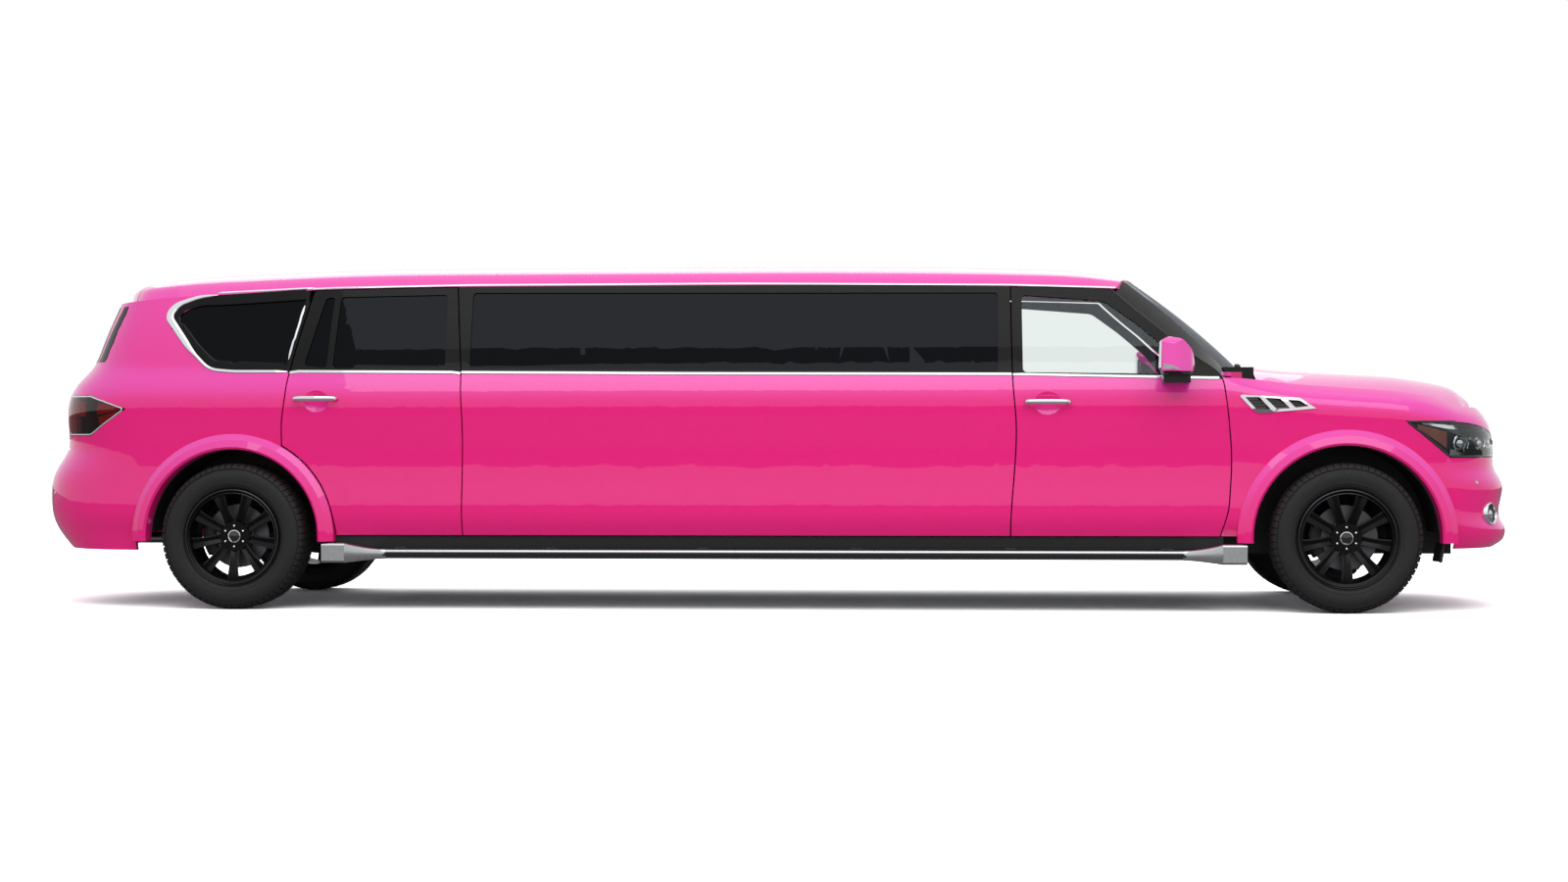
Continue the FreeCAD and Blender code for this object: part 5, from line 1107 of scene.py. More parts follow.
@dataclass
class WheelDress:
    """Rim lip, spoke edges, nuts, cap, brake disc and caliper of each wheel.

    A turned piece is its name, finish, count of steps round and profile. The cap's
    profiles start at the face of the hub. The spoke line is radius, half width and place
    along the axle.
    """

    spokes: int = 9
    nuts: int = 6
    nut_circle: float = 0.058
    hub_face: float = 0.0708
    spoke_line: tuple[tuple[float, float, float], ...] = (
        (0.100, 0.0232, 0.0775), (0.135, 0.0218, 0.0885), (0.170, 0.0224, 0.0955),
        (0.205, 0.0252, 0.0990), (0.232, 0.0282, 0.0998))
    rim: tuple[Turned, ...] = (
        ("rim_lip_", Finishes.cut_alloy, 96, (
            (0.2545, 0.1215), (0.2570, 0.1300), (0.2600, 0.1308), (0.2632, 0.1290),
            (0.2600, 0.1240))),
        ("rim_step_", Finishes.cut_alloy, 96, (
            (0.2405, 0.1150), (0.2415, 0.1175), (0.2440, 0.1165), (0.2430, 0.1140))))
    cap: tuple[Turned, ...] = (
        ("cap_ring_", Finishes.chrome, 48, (
            (0.0285, -0.002), (0.0290, 0.0095), (0.0320, 0.0125), (0.0355, 0.0120),
            (0.0375, 0.0080), (0.0375, -0.002))),
        ("cap_disc_", Finishes.gloss_plastic, 48, (
            (0.0002, 0.0085), (0.0150, 0.0080), (0.0280, 0.0062), (0.0284, -0.002),
            (0.0002, -0.002))))
    brake: tuple[Turned, ...] = (
        ("brake_disc_", Finishes.disc, 96, (
            (0.0900, -0.0020), (0.0905, 0.0022), (0.1765, 0.0022), (0.1775, 0.0010),
            (0.1778, -0.0020))),
        ("brake_hat_", Finishes.disc, 64, (
            (0.0840, -0.0020), (0.0835, 0.0120), (0.0850, 0.0140), (0.0885, 0.0130),
            (0.0895, -0.0020))))
    nut: Path = ((0.0095, -0.002), (0.0095, 0.008), (0.0088, 0.0105), (0.0060, 0.0150),
                 (0.0025, 0.0170), (0.0003, 0.0173))
    caliper_section: Path = (
        (0.128, 0.0050), (0.128, 0.0180), (0.150, 0.0240), (0.186, 0.0220), (0.1980, 0.0120),
        (0.1990, -0.0500), (0.1900, -0.0600), (0.1300, -0.0580), (0.1300, -0.0450),
        (0.1830, -0.0420), (0.1830, 0.0050))
    caliper_degrees: tuple[float, float] = (236, 290)

    def build(self) -> None:
        """Dress all four wheels."""
        for end, word, side, centre in wheels():
            place = end + "_" + word
            self.rings(self.rim, place, centre, side)
            self.spoke_edges(place, centre, side)
            self.nut_set(place, centre, side)
            self.rings(self.cap, place, centre, side, self.hub_face)
            self.rings(self.brake, place, centre, side)
            self.caliper(end, word, centre, side)
        log.info("wheels: done")

    def rings(self, table: Sequence[Turned], place: str, centre: Vector, side: int,
              start: float = 0.0) -> None:
        """Turned pieces on a wheel, whose profiles begin at a start along the axle."""
        for name, finish, count, profile in table:
            made = Forms.turned(name, [(r, start + y) for r, y in profile], centre, count,
                                (0, side, 0), finish, 30)
            fitted(name + place, [made], "wheel_" + place)

    def spoke_edges(self, place: str, centre: Vector, side: int) -> None:
        """Two raised bright edges on each spoke."""
        parts = []
        for hand in (-1, 1):
            rows = []
            for number, (r, half, y) in enumerate(self.spoke_line):
                thick = 0.0024 if 0 < number < len(self.spoke_line) - 1 else 0.0010
                rows.append([(centre.x + hand * half + thick * math.cos(a),
                              centre.y + side * (y + thick * math.sin(a) * 0.8), centre.z - r)
                             for a in angles(6)])
            parts.append(Spread.repeat(Forms.loft("edge", rows, Finishes.cut_alloy),
                                       Finishes.cut_alloy, self.spokes, centre,
                                       turn=(0, 2 * math.pi / self.spokes, 0)))
        fitted("spoke_edges_" + place, parts, "wheel_" + place)

    def nut_set(self, place: str, centre: Vector, side: int) -> None:
        """Domed hexagon nuts on their circle."""
        rows = [[(centre.x + r * math.sin(a), centre.y + side * (self.hub_face + y),
                  centre.z + self.nut_circle + r * math.cos(a)) for a in angles(6)]
                for r, y in self.nut]
        made = Spread.repeat(Forms.loft("lug_nuts", rows, Finishes.chrome, 20), Finishes.chrome,
                             self.nuts, centre, turn=(0, 2 * math.pi / self.nuts, 0))
        fitted("lug_nuts_" + place, [made], "wheel_" + place)

    def caliper(self, end: str, word: str, centre: Vector, side: int) -> None:
        """Caliper that straddles the disc without touching it."""
        first, last = (math.radians(a) for a in self.caliper_degrees)
        rows = [[(centre.x + r * math.sin(a), centre.y + side * y, centre.z + r * math.cos(a))
                 for r, y in self.caliper_section] for a in steps(first, last, 10)]
        made = Forms.bevelled(Forms.loft("caliper", rows, Finishes.cast_iron, 40), 0.002, 2, 40)
        fitted("caliper_" + end + "_" + word, [made],
               "knuckle_" + word if end == "front" else "vehicle")


@dataclass
class Lamps:
    """Layers and rims behind the lenses of a pair of lamps, cut to their outline.

    A layer is its name, its upper and lower edge as shares of the lens height, its first
    and last place as shares of the length, its lift off the lens, and its finish.
    """

    skin: Skin
    node: str
    prefix: str
    slot: str
    view: float
    span: tuple[float, float]
    heights: tuple[float, float]
    layers: tuple[tuple[str, float, float, float, float, float, Finish], ...]
    inset: float = 0.005

    def build(self) -> None:
        """Dress both lamps."""
        top, foot = self.skin.edges(self.node, self.view, self.span, self.heights, self.inset)
        for side, word in SIDES:
            for name, upper, lower, first, last, lift, finish in self.layers:
                Patch(self.prefix + name + word, "vehicle", self.node, finish,
                      part_of(between(top, foot, upper), first, last),
                      part_of(between(top, foot, lower), first, last), lift, 0.002,
                      self.view, (36, 6), slot=self.slot).build(self.skin, side)
            self.extras(top, foot, side, word)
        log.info("%s layers: done", self.node)

    def extras(self, top: list, foot: list, side: int, word: str) -> None:
        """Pieces that only one kind of lamp has."""

    def rim(self, loop: list, width: float, finish: Finish, slot: str, side: int,
            word: str) -> None:
        """Thin edge round the lens."""
        Strip(self.prefix + "rim_" + word, "vehicle", self.node, finish, loop, width, 0.0022,
              0.001, view=self.view, closed=True, slot=slot).build(self.skin, side)


@dataclass
class Headlamps(Lamps):
    """Bezel, light guide, amber corner, painted brow and optics of the headlamps."""

    node: str = "front_lamps"
    prefix: str = "headlamp_"
    slot: str = "chrome"
    view: float = 50.0
    span: tuple[float, float] = (1.9, 2.8)
    heights: tuple[float, float] = (0.82, 1.06)
    layers: tuple = (
        ("bezel_", 0.02, 0.98, 0.03, 0.98, -0.034, Finishes.lens_black),
        ("light_guide_", 0.08, 0.20, 0.08, 0.40, -0.024, Finishes.chrome),
        ("lower_bright_", 0.80, 0.97, 0.30, 0.96, -0.022, Finishes.reflector),
        ("upper_cell_", 0.30, 0.50, 0.50, 0.94, -0.026, Finishes.reflector),
        ("amber_", 0.30, 0.78, 0.07, 0.27, -0.022, Finishes.amber))
    brow_start: float = 0.34
    brow_depth: float = 0.42
    optics_view: float = 66.0
    optics_depth: float = 0.026
    optics_places: Path = ((0.40, 0.046), (0.64, 0.036), (0.84, 0.028))

    def extras(self, top: list, foot: list, side: int, word: str) -> None:
        """Painted brow over the lens, its rim and the bowls behind it."""
        last = len(top) - 1
        brow = [(t, z - (z - b[1]) * self.brow_share(i / last))
                for i, ((t, z), b) in enumerate(zip(top, foot))]
        first = round(self.brow_start * last)
        Patch("headlamp_brow_" + word, "vehicle", self.node, Finishes.body,
              [(t, z + 0.006) for t, z in top][first:], brow[first:], 0.0022, 0.004, self.view,
              (40, 8), slot="body_paint").build(self.skin, side)
        self.rim(brow + foot[::-1], 0.011, Finishes.gloss_plastic, "black_plastic", side, word)
        self.optics(top, foot, side, word)

    def brow_share(self, place: float) -> float:
        """How much of the lens the painted brow hides at a share of its length."""
        if place <= self.brow_start:
            return 0.0
        share = (place - self.brow_start) / (1 - self.brow_start)
        return self.brow_depth * share ** 1.6

    def optics(self, top: list, foot: list, side: int, word: str) -> None:
        """Projector and two bowls behind the lens."""
        middle = between(top, foot, 0.62)
        out, _ = sight(self.optics_view, side)
        parts = []
        for share, radius in self.optics_places:
            place = round(share * (len(middle) - 1))
            radius = min(radius, (top[place][1] - foot[place][1]) * 0.38)
            point, _ = self.skin.cast(self.node, *middle[place], self.view, side)
            for name, finish, profile in (
                    ("bowl", Finishes.chrome, (
                        (radius * 0.72, -0.004), (radius * 0.78, 0.003), (radius, 0.010),
                        (radius * 1.08, 0.008), (radius * 1.06, -0.004))),
                    ("dome", Finishes.reflector, (
                        (0.0003, 0.012), (radius * 0.3, 0.0110), (radius * 0.55, 0.0075),
                        (radius * 0.7, 0.001), (radius * 0.7, -0.004), (0.0003, -0.004)))):
                parts.append(Forms.turned(name, profile, point - out * self.optics_depth, 40,
                                          out, finish, 30))
        fitted("headlamp_optics_" + word, parts, "vehicle")


@dataclass
class TailLamps(Lamps):
    """Bowl, red reflectors, clear part and bright rim of the tail lamps."""

    node: str = "tail_lamps"
    prefix: str = "tail_lamp_"
    slot: str = "lamp_red"
    view: float = 128.0
    span: tuple[float, float] = (-2.75, -1.9)
    heights: tuple[float, float] = (0.95, 1.21)
    layers: tuple = (
        ("bowl_", 0.02, 0.98, 0.03, 0.97, -0.032, Finishes.lens_black),
        ("red_", 0.10, 0.52, 0.08, 0.94, -0.020, Finishes.red_reflector),
        ("clear_", 0.60, 0.90, 0.06, 0.52, -0.020, Finishes.chrome),
        ("low_red_", 0.60, 0.90, 0.56, 0.90, -0.020, Finishes.red_reflector))

    def extras(self, top: list, foot: list, side: int, word: str) -> None:
        """Bright rim round the lens."""
        self.rim(top + foot[::-1], 0.009, Finishes.chrome, "chrome", side, word)


@dataclass
class SideDetails:
    """Vent screens, mirror glass and indicators, fog lamp rings and step pads."""

    skin: Skin
    vents: tuple[tuple[Point, ...], ...] = (
        ((2.668, 1.166), (2.740, 1.166), (2.797, 1.105), (2.728, 1.102)),
        ((2.771, 1.163), (2.851, 1.160), (2.901, 1.109), (2.833, 1.106)),
        ((2.892, 1.153), (2.956, 1.150), (3.001, 1.121), (2.934, 1.112)))
    louvre_rows: tuple[float, ...] = (0.28, 0.52, 0.76)
    louvre_inset: float = 0.004
    board_span: tuple[float, float] = (-2.270, 2.540)
    board_y: tuple[float, float] = (0.868, 0.992)
    board_top: float = 0.338
    ribs: int = 11
    fog_place: tuple[float, float] = (1.350, 0.533)
    fog_view: float = 30.0
    fog_reach: float = 0.068
    fog_parts: tuple[Turned, ...] = (
        ("ring", Finishes.chrome, 64, (
            (0.0500, -0.010), (0.0490, 0.006), (0.0520, 0.013), (0.0570, 0.015),
            (0.0620, 0.010), (0.0640, -0.012))),
        ("bowl", Finishes.lens_black, 48, (
            (0.0003, 0.002), (0.020, 0.001), (0.046, 0.004), (0.0495, 0.001),
            (0.0495, -0.008), (0.0003, -0.008))),
        ("dome", Finishes.reflector, 48, (
            (0.0003, 0.012), (0.012, 0.010), (0.021, 0.004), (0.022, 0.0), (0.0003, 0.0))))

    def build(self) -> None:
        """Make the details on both sides."""
        for side, word in SIDES:
            self.vent(side, word)
            self.mirror(side, word)
            self.fog_lamp(side, word)
            self.board(side, word)
        log.info("side details: done")

    def vent(self, side: int, word: str) -> None:
        """Black mesh behind each opening of the fender vent, with louvres."""
        for number, (a, b, c, d) in enumerate(self.vents, 1):
            Patch("vent_screen_%d_%s" % (number, word), "vehicle", "fenders",
                  Finishes.gloss_plastic, (a, b), (d, c), 0.0015, 0.002, 90.0,
                  (6, 4)).build(self.skin, side)
            for row in self.louvre_rows:
                start = (a[0] + (d[0] - a[0]) * row + self.louvre_inset,
                         a[1] + (d[1] - a[1]) * row)
                end = (b[0] + (c[0] - b[0]) * row - self.louvre_inset,
                       b[1] + (c[1] - b[1]) * row)
                Strip("vent_louvre_%d_%d_%s" % (number, round(row * 100), word), "vehicle",
                      "fenders", Finishes.plastic, run(start, end, 6), 0.005, 0.007, 0.0,
                      slot="black_plastic").build(self.skin, side)

    def mirror(self, side: int, word: str) -> None:
        """Mirror glass and the indicator in the housing."""
        top, foot = self.skin.edges("mirror_left", 180.0, (0.96, 1.235), (1.24, 1.49), 0.016)
        Patch("mirror_glass_" + word, "front_door_" + word, "mirror_" + word, Finishes.chrome,
              part_of(top, 0.06, 0.94), part_of(foot, 0.06, 0.94), 0.0022, 0.004, 180.0,
              (24, 10), slot="chrome").build(self.skin, side)
        Patch("mirror_indicator_" + word, "front_door_" + word, "mirror_" + word,
              Finishes.aluminium, ((2.212, 1.345), (2.250, 1.338), (2.292, 1.322)),
              ((2.212, 1.318), (2.250, 1.316), (2.292, 1.314)), 0.0006, 0.003, 90.0, (16, 4),
              slot="lamp_clear").build(self.skin, side)

    def fog_lamp(self, side: int, word: str) -> None:
        """Chrome ring, dark bowl and bright dome of a fog lamp."""
        t, z = self.fog_place
        reach = self.fog_reach
        spots = [self.skin.cast("front_bumper", t + dt, z + dz, self.fog_view, side)
                 for dt, dz in ((reach, 0.0), (-reach, 0.0), (0.0, reach), (0.0, -reach))]
        centre = sum((spot for spot, _ in spots), Vector()) / len(spots)
        out = sum((normal for _, normal in spots), Vector()).normalized()
        parts = [Forms.turned(name, profile, centre, count, out, finish, 40)
                 for name, finish, count, profile in self.fog_parts]
        fitted("fog_lamp_ring_" + word, parts, "vehicle")

    def board(self, side: int, word: str) -> None:
        """Ribbed step pad on top of the board and a dark face under its bright edge."""
        x0, x1 = self.board_span
        y0, y1 = self.board_y
        z = self.board_top
        low, high = sorted((side * y0, side * y1))
        pad = Forms.block("pad", (x0, low, z + 0.0002), (x1, high, z + 0.0026),
                          Finishes.tread_rubber, 0.001)
        step = (y1 - y0 - 0.012) / (self.ribs - 1)
        y = side * (y0 + 0.006)
        half = step * 0.28
        rib = Forms.loft("rib", [
            [(x, y - half, z + 0.002), (x, y - half * 0.7, z + 0.0052),
             (x, y + half * 0.7, z + 0.0052), (x, y + half, z + 0.002)]
            for x in (x0 + 0.01, x1 - 0.01)], Finishes.tread_rubber)
        rib = Spread.repeat(rib, Finishes.tread_rubber, self.ribs, move=(0, side * step, 0))
        fitted("step_tread_" + word, [pad, rib], "vehicle")
        Patch("board_face_" + word, "vehicle", "running_boards", Finishes.gunmetal,
              ((x0, 0.322), (x1, 0.322)), ((x0, 0.294), (x1, 0.294)), 0.0012, 0.002, 90.0,
              (40, 3)).build(self.skin, side)


@dataclass
class EndDetails:
    """Grille screen, blank plate, wipers and small parts of the nose and the tail."""

    skin: Skin
    screen_x: float = 4.010
    screen_half: float = 0.420
    screen_heights: tuple[float, float] = (0.660, 1.030)
    screen_cell: float = 0.036
    wrap_top: float = 1.700
    wrap_drop: float = 0.315
    wrap_view: float = 135.0
    plate_size: tuple[float, float] = (0.304, 0.152)
    plate_z: float = 1.030
    plate_corner: float = 0.012
    plate_steps: Path = (
        (0.0, 0.0), (0.0, -0.0035), (0.004, -0.0045), (0.008, -0.0030), (0.010, -0.0022))
    screw: Path = ((0.0003, 0.0062), (0.003, 0.0058), (0.0058, 0.0040), (0.0064, 0.0015),
                   (0.0064, -0.001), (0.0003, -0.001))
    pivot: Path = ((0.0003, 0.014), (0.010, 0.012), (0.014, 0.004), (0.014, -0.018),
                   (0.0003, -0.018))
    sensor: Path = ((0.0003, 0.0016), (0.0070, 0.0012), (0.0082, 0.0030), (0.0105, 0.0024),
                    (0.0112, -0.002), (0.0003, -0.002))
    sensor_places: tuple[tuple[str, float, float, float], ...] = (
        ("front_bumper", 62.0, 3.06, 0.705), ("front_bumper", 20.0, 1.18, 0.640),
        ("rear_bumper", 180.0, 0.30, 0.640), ("rear_bumper", 160.0, -0.72, 0.640))

    def build(self) -> None:
        """Make the details of both ends."""
        self.grille_screen()
        self.rear_wrap()
        self.fairings()
        self.deflectors()
        self.intake()
        self.plate()
        self.wipers()
        self.stop_lamp()
        self.sensors()
        log.info("end details: done")

    def grille_screen(self) -> None:
        """Black panel with upright bars behind the grille."""
        (low, high), half, x = self.screen_heights, self.screen_half, self.screen_x
        panel = Forms.block("panel", (x - 0.004, -half, low), (x, half, high),
                            Finishes.gloss_plastic)
        start = -half + self.screen_cell / 2
        bar = Forms.loft("bar", [
            [(x - 0.001, start - 0.0028, z), (x + 0.009, start - 0.0018, z),
             (x + 0.009, start + 0.0018, z), (x - 0.001, start + 0.0028, z)]
            for z in (low + 0.01, high - 0.01)], Finishes.gloss_plastic)
        bar = Spread.repeat(bar, Finishes.gloss_plastic, int(half * 2 / self.screen_cell),
                            move=(0, self.screen_cell, 0))
        fitted("grille_screen", [panel, bar], "vehicle")

    def rear_wrap(self) -> None:
        """Black glass edges round the rear corner and beside the tailgate, and cowl ends."""
        node = "quarter_panels"
        a = math.radians(self.wrap_view)
        levels = [self.wrap_top - self.wrap_drop * i / 12 for i in range(13)]
        for side, word in SIDES:
            front, rear = [], []
            for z in levels:
                for edge, (point, _) in (
                        (front, self.skin.side(node, self.tail_edge(z) + 0.075, z, side)),
                        (rear, self.skin.cast(node, 0.712, z, 180.0, side))):
                    edge.append((math.sin(a) * point.x - math.cos(a) * abs(point.y), z))
            for patch in (
                    Patch("rear_glass_wrap_" + word, "vehicle", node, Finishes.frit, front,
                          rear, 0.0014, 0.003, self.wrap_view, (24, 10)),
                    Patch("tailgate_frit_" + word, "tailgate", "tailgate", Finishes.frit,
                          [(0.676, z) for z in levels], [(0.590, z) for z in levels], 0.0014,
                          0.003, 180.0, (24, 6)),
                    Patch("cowl_end_" + word, "vehicle", "windshield_frame", Finishes.body,
                          ((2.550, 1.308), (2.668, 1.308)), ((2.550, 1.264), (2.668, 1.264)),
                          0.0014, 0.003, 90.0, (12, 4), slot="body_paint")):
                patch.build(self.skin, side)

    def tail_edge(self, z: float) -> float:
        """Rearmost place of the quarter panels at a height."""
        tree = self.skin.tree("quarter_panels")
        for k in range(120):
            x = -4.10 + 0.008 * k
            if tree.ray_cast(Vector((x, 3.0, z)), Vector((0, -1, 0)), 2.4)[0] is not None:
                return x
        return -3.60

    def fairings(self) -> None:
        """Swept ends that lead the running boards into their end blocks."""
        for side, word in SIDES:
            for end, x0, x1 in (("front", 2.330, 2.546), ("rear", -2.040, -2.276)):
                rows = []
                for u in steps(0.0, 1.0, 12):
                    top = 0.3385 + (0.372 - 0.3385) * u ** 1.7
                    foot = 0.2855 - 0.0235 * u ** 1.4
                    y0, y1 = 0.936, 1.0012 + 0.0055 * u
                    rows.append([(x0 + (x1 - x0) * u, side * y, z) for y, z in (
                        (y0, foot), (y1 - 0.006, foot), (y1 - 0.001, foot + 0.006),
                        (y1, (top + foot) / 2 + 0.010), (y1 - 0.004, top - 0.005),
                        (y1 - 0.012, top), (y0, top))])
                name = "board_fairing_%s_%s" % (end, word)
                fitted(name, [Forms.loft(name, rows, Finishes.aluminium, 40)], "vehicle")

    def intake(self) -> None:
        """Black mouth with two bright blades over the lower intake."""
        for side, word in SIDES:
            Patch("intake_mouth_" + word, "vehicle", "grille", Finishes.gloss_plastic,
                  ((-0.402, 0.497), (0.0, 0.497)), ((-0.390, 0.433), (0.0, 0.433)), 0.0014,
                  0.003, 0.0, (20, 4)).build(self.skin, side)
            for number, z in enumerate((0.454, 0.477), 1):
                Strip("intake_blade_%d_%s" % (number, word), "vehicle", "grille",
                      Finishes.chrome, run((-0.385, z), (0.0, z), 16), 0.006, 0.006, 0.0,
                      view=0.0).build(self.skin, side)

    def deflectors(self) -> None:
        """Rubber air deflectors ahead of the front wheels, bowed forward."""
        section = ((3.718, 0.376), (3.726, 0.376), (3.710, 0.276), (3.703, 0.272),
                   (3.698, 0.278))
        for side, word in SIDES:
            rows = [[(x + 0.022 * math.sin(math.pi * k / 8), side * (0.735 + 0.215 * k / 8), z)
                     for x, z in section] for k in range(9)]
            name = "air_deflector_" + word
            fitted(name, [Forms.loft(name, rows, Finishes.rubber, 40)], "vehicle")

    def plate(self) -> None:
        """Blank plate with a raised edge and two screws on the tailgate."""
        z = self.plate_z
        wide, high = (size / 2 for size in self.plate_size)
        x = self.skin.cast("tailgate", 0.0, z, 180.0, 1)[0].x - 0.003
        rows = [[(x + out, y, z + up) for y, up in
                 rounded_box(wide - inset, high - inset, self.plate_corner, 4)]
                for inset, out in self.plate_steps]
        parts = [Forms.loft("sheet", rows, Finishes.plate, 40)]
        for side, _ in SIDES:
            parts.append(Forms.turned("screw", self.screw,
                                      (x - 0.0022, side * 0.0889, z + 0.052), 24, (-1, 0, 0),
                                      Finishes.steel, 40))
        fitted("blank_rear_plate", parts, "tailgate")

    def wipers(self) -> None:
        """Two wipers on the windshield and one on the tailgate glass."""
        for name, body, node, view, root, knee, tip0, tip1 in (
                ("wiper_left", "vehicle", "windshield", 0.0, (-0.60, 0.016), (-0.34, 0.040),
                 (-0.62, 0.028), (-0.06, 0.052)),
                ("wiper_right", "vehicle", "windshield", 0.0, (0.04, 0.014), (0.30, 0.038),
                 (0.02, 0.028), (0.60, 0.040)),
                ("wiper_rear", "tailgate", "tailgate_glass", 180.0, (0.0, 0.018),
                 (0.16, 0.030), (-0.05, 0.024), (0.34, 0.036))):
            blade = [self.lifted(node, t, z, view, 0.010) for t, z in run(tip0, tip1, 14)]
            arm = [self.lifted(node, t, z, view, 0.022) for t, z in run(root, knee, 8)]
            way = (1, 0, 0) if view == 0.0 else (-1, 0, 0)
            fitted(name, [Forms.tube("blade", blade, 0.0055, Finishes.rubber),
                          Forms.tube("arm", arm, 0.0065, Finishes.plastic),
                          Forms.turned("pivot", self.pivot, arm[0], 20, way, Finishes.plastic,
                                       40)], body)

    def lifted(self, node: str, t: float, z: float, view: float, lift: float) -> Vector:
        """Point at a lift over the glass, z above its lower edge."""
        z += min(v.co.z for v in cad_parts[node].data.vertices)
        if (view == 180.0 and t < 0) or (view == 0.0 and t > 0):
            point, normal = self.skin.cast(node, -t, z, view, -1)
        else:
            point, normal = self.skin.cast(node, t, z, view, 1)
        return point + normal * lift

    def stop_lamp(self) -> None:
        """High stop lamp under the tailgate's spoiler, as two halves."""
        line = [(0.002 + 0.21 * i / 12, 1.722 - 0.002 * (i / 12) ** 2) for i in range(13)]
        for side, word in SIDES:
            Strip("high_stop_lamp_" + word, "tailgate", "tailgate", Finishes.red_reflector,
                  line, 0.018, 0.006, 0.001, view=180.0,
                  slot="lamp_red").build(self.skin, side)

    def sensors(self) -> None:
        """Parking sensors in both bumpers."""
        for number, (node, view, t, z) in enumerate(self.sensor_places, 1):
            for side, word in SIDES:
                point, normal = self.skin.cast(node, t, z, view, side)
                name = "sensor_%d_%s" % (number, word)
                fitted(name, [Forms.turned(name, self.sensor, point, 24, normal,
                                           Finishes.aluminium, 30)], "vehicle")


@dataclass
class Pad:
    """One sewn cushion, filled by a cloth simulation."""

    size: tuple[float, float, float]
    lines_x: tuple[float, ...] = ()
    lines_y: tuple[float, ...] = ()
    corner: float = 0.040
    shrink: float = 0.012
    voxel: float = 0.015
    pressure: float = 4.0
    reach: float = 0.024
    channel_depth: float = 0.011
    channel_half: float = 0.011
    piping_radius: float = 0.0038
    frames: int = 20

    def build(self, name: str) -> Piece:
        """Make the pad with its piping round the origin, with its face up."""
        half = [side / 2 - self.shrink for side in self.size]
        made = Forms.block(name, [-h for h in half], half, Finishes.leather, self.corner, 4, 30)
        changer = made.modifiers.new("remesh", "REMESH")
        changer.mode = "VOXEL"
        changer.voxel_size = self.voxel
        Forms.settled(made)
        self.filled(made)
        smooth = made.modifiers.new("fine", "SUBSURF")
        smooth.levels = smooth.render_levels = 1
        Forms.settled(made)
        self.sewn(made)
        made.data.polygons.foreach_set("use_smooth", [True] * len(made.data.polygons))
        return Forms.joined(name, [made, self.piping(made)])

    def filled(self, made: Piece) -> None:
        """Blow the cover up and keep each point within its reach."""
        start = [v.co.copy() for v in made.data.vertices]
        cloth = made.modifiers.new("cloth", "CLOTH")
        cloth.settings.use_pressure = True
        cloth.settings.uniform_pressure_force = self.pressure
        cloth.settings.effector_weights.gravity = 0.0
        cloth.point_cache.frame_start = 1
        cloth.point_cache.frame_end = self.frames
        scene = bpy.context.scene
        for number in range(1, self.frames + 1):
            scene.frame_set(number)
        live = made.evaluated_get(bpy.context.evaluated_depsgraph_get())
        ends = [v.co.copy() for v in live.data.vertices]
        made.modifiers.remove(cloth)
        scene.frame_set(1)
        for vertex, a, b in zip(made.data.vertices, start, ends):
            step = b - a
            if step.length > self.reach:
                step *= self.reach / step.length
            vertex.co = a + step

    def sewn(self, made: Piece) -> None:
        """Draw the sewn channels into the face."""
        deep = self.size[2] / 2 - self.shrink - self.corner
        for vertex in made.data.vertices:
            x, y, z = vertex.co
            near = ([abs(x - line) for line in self.lines_x]
                    + [abs(y - line) for line in self.lines_y])
            if near and z >= deep:
                share = math.exp(-(min(near) / self.channel_half) ** 2)
                vertex.co.z = z - self.channel_depth * share

    def piping(self, made: Piece) -> Piece:
        """Corded seam round the face, on the skin of the pad."""
        tree = face_tree(made.data)
        a, b = (side / 2 for side in self.size[:2])
        loop = rounded_box(a, b, self.corner * 1.6, 6)
        loop = even(loop + loop[:1], round(2 * (a + b) / 0.02))[:-1]
        high = self.size[2] / 2 + 0.01
        spots = [tree.find_nearest(Vector((x * 1.02, y * 1.02, high)))[0] for x, y in loop]
        return Forms.tube("piping", spots, self.piping_radius, Finishes.stitch, 6, closed=True)


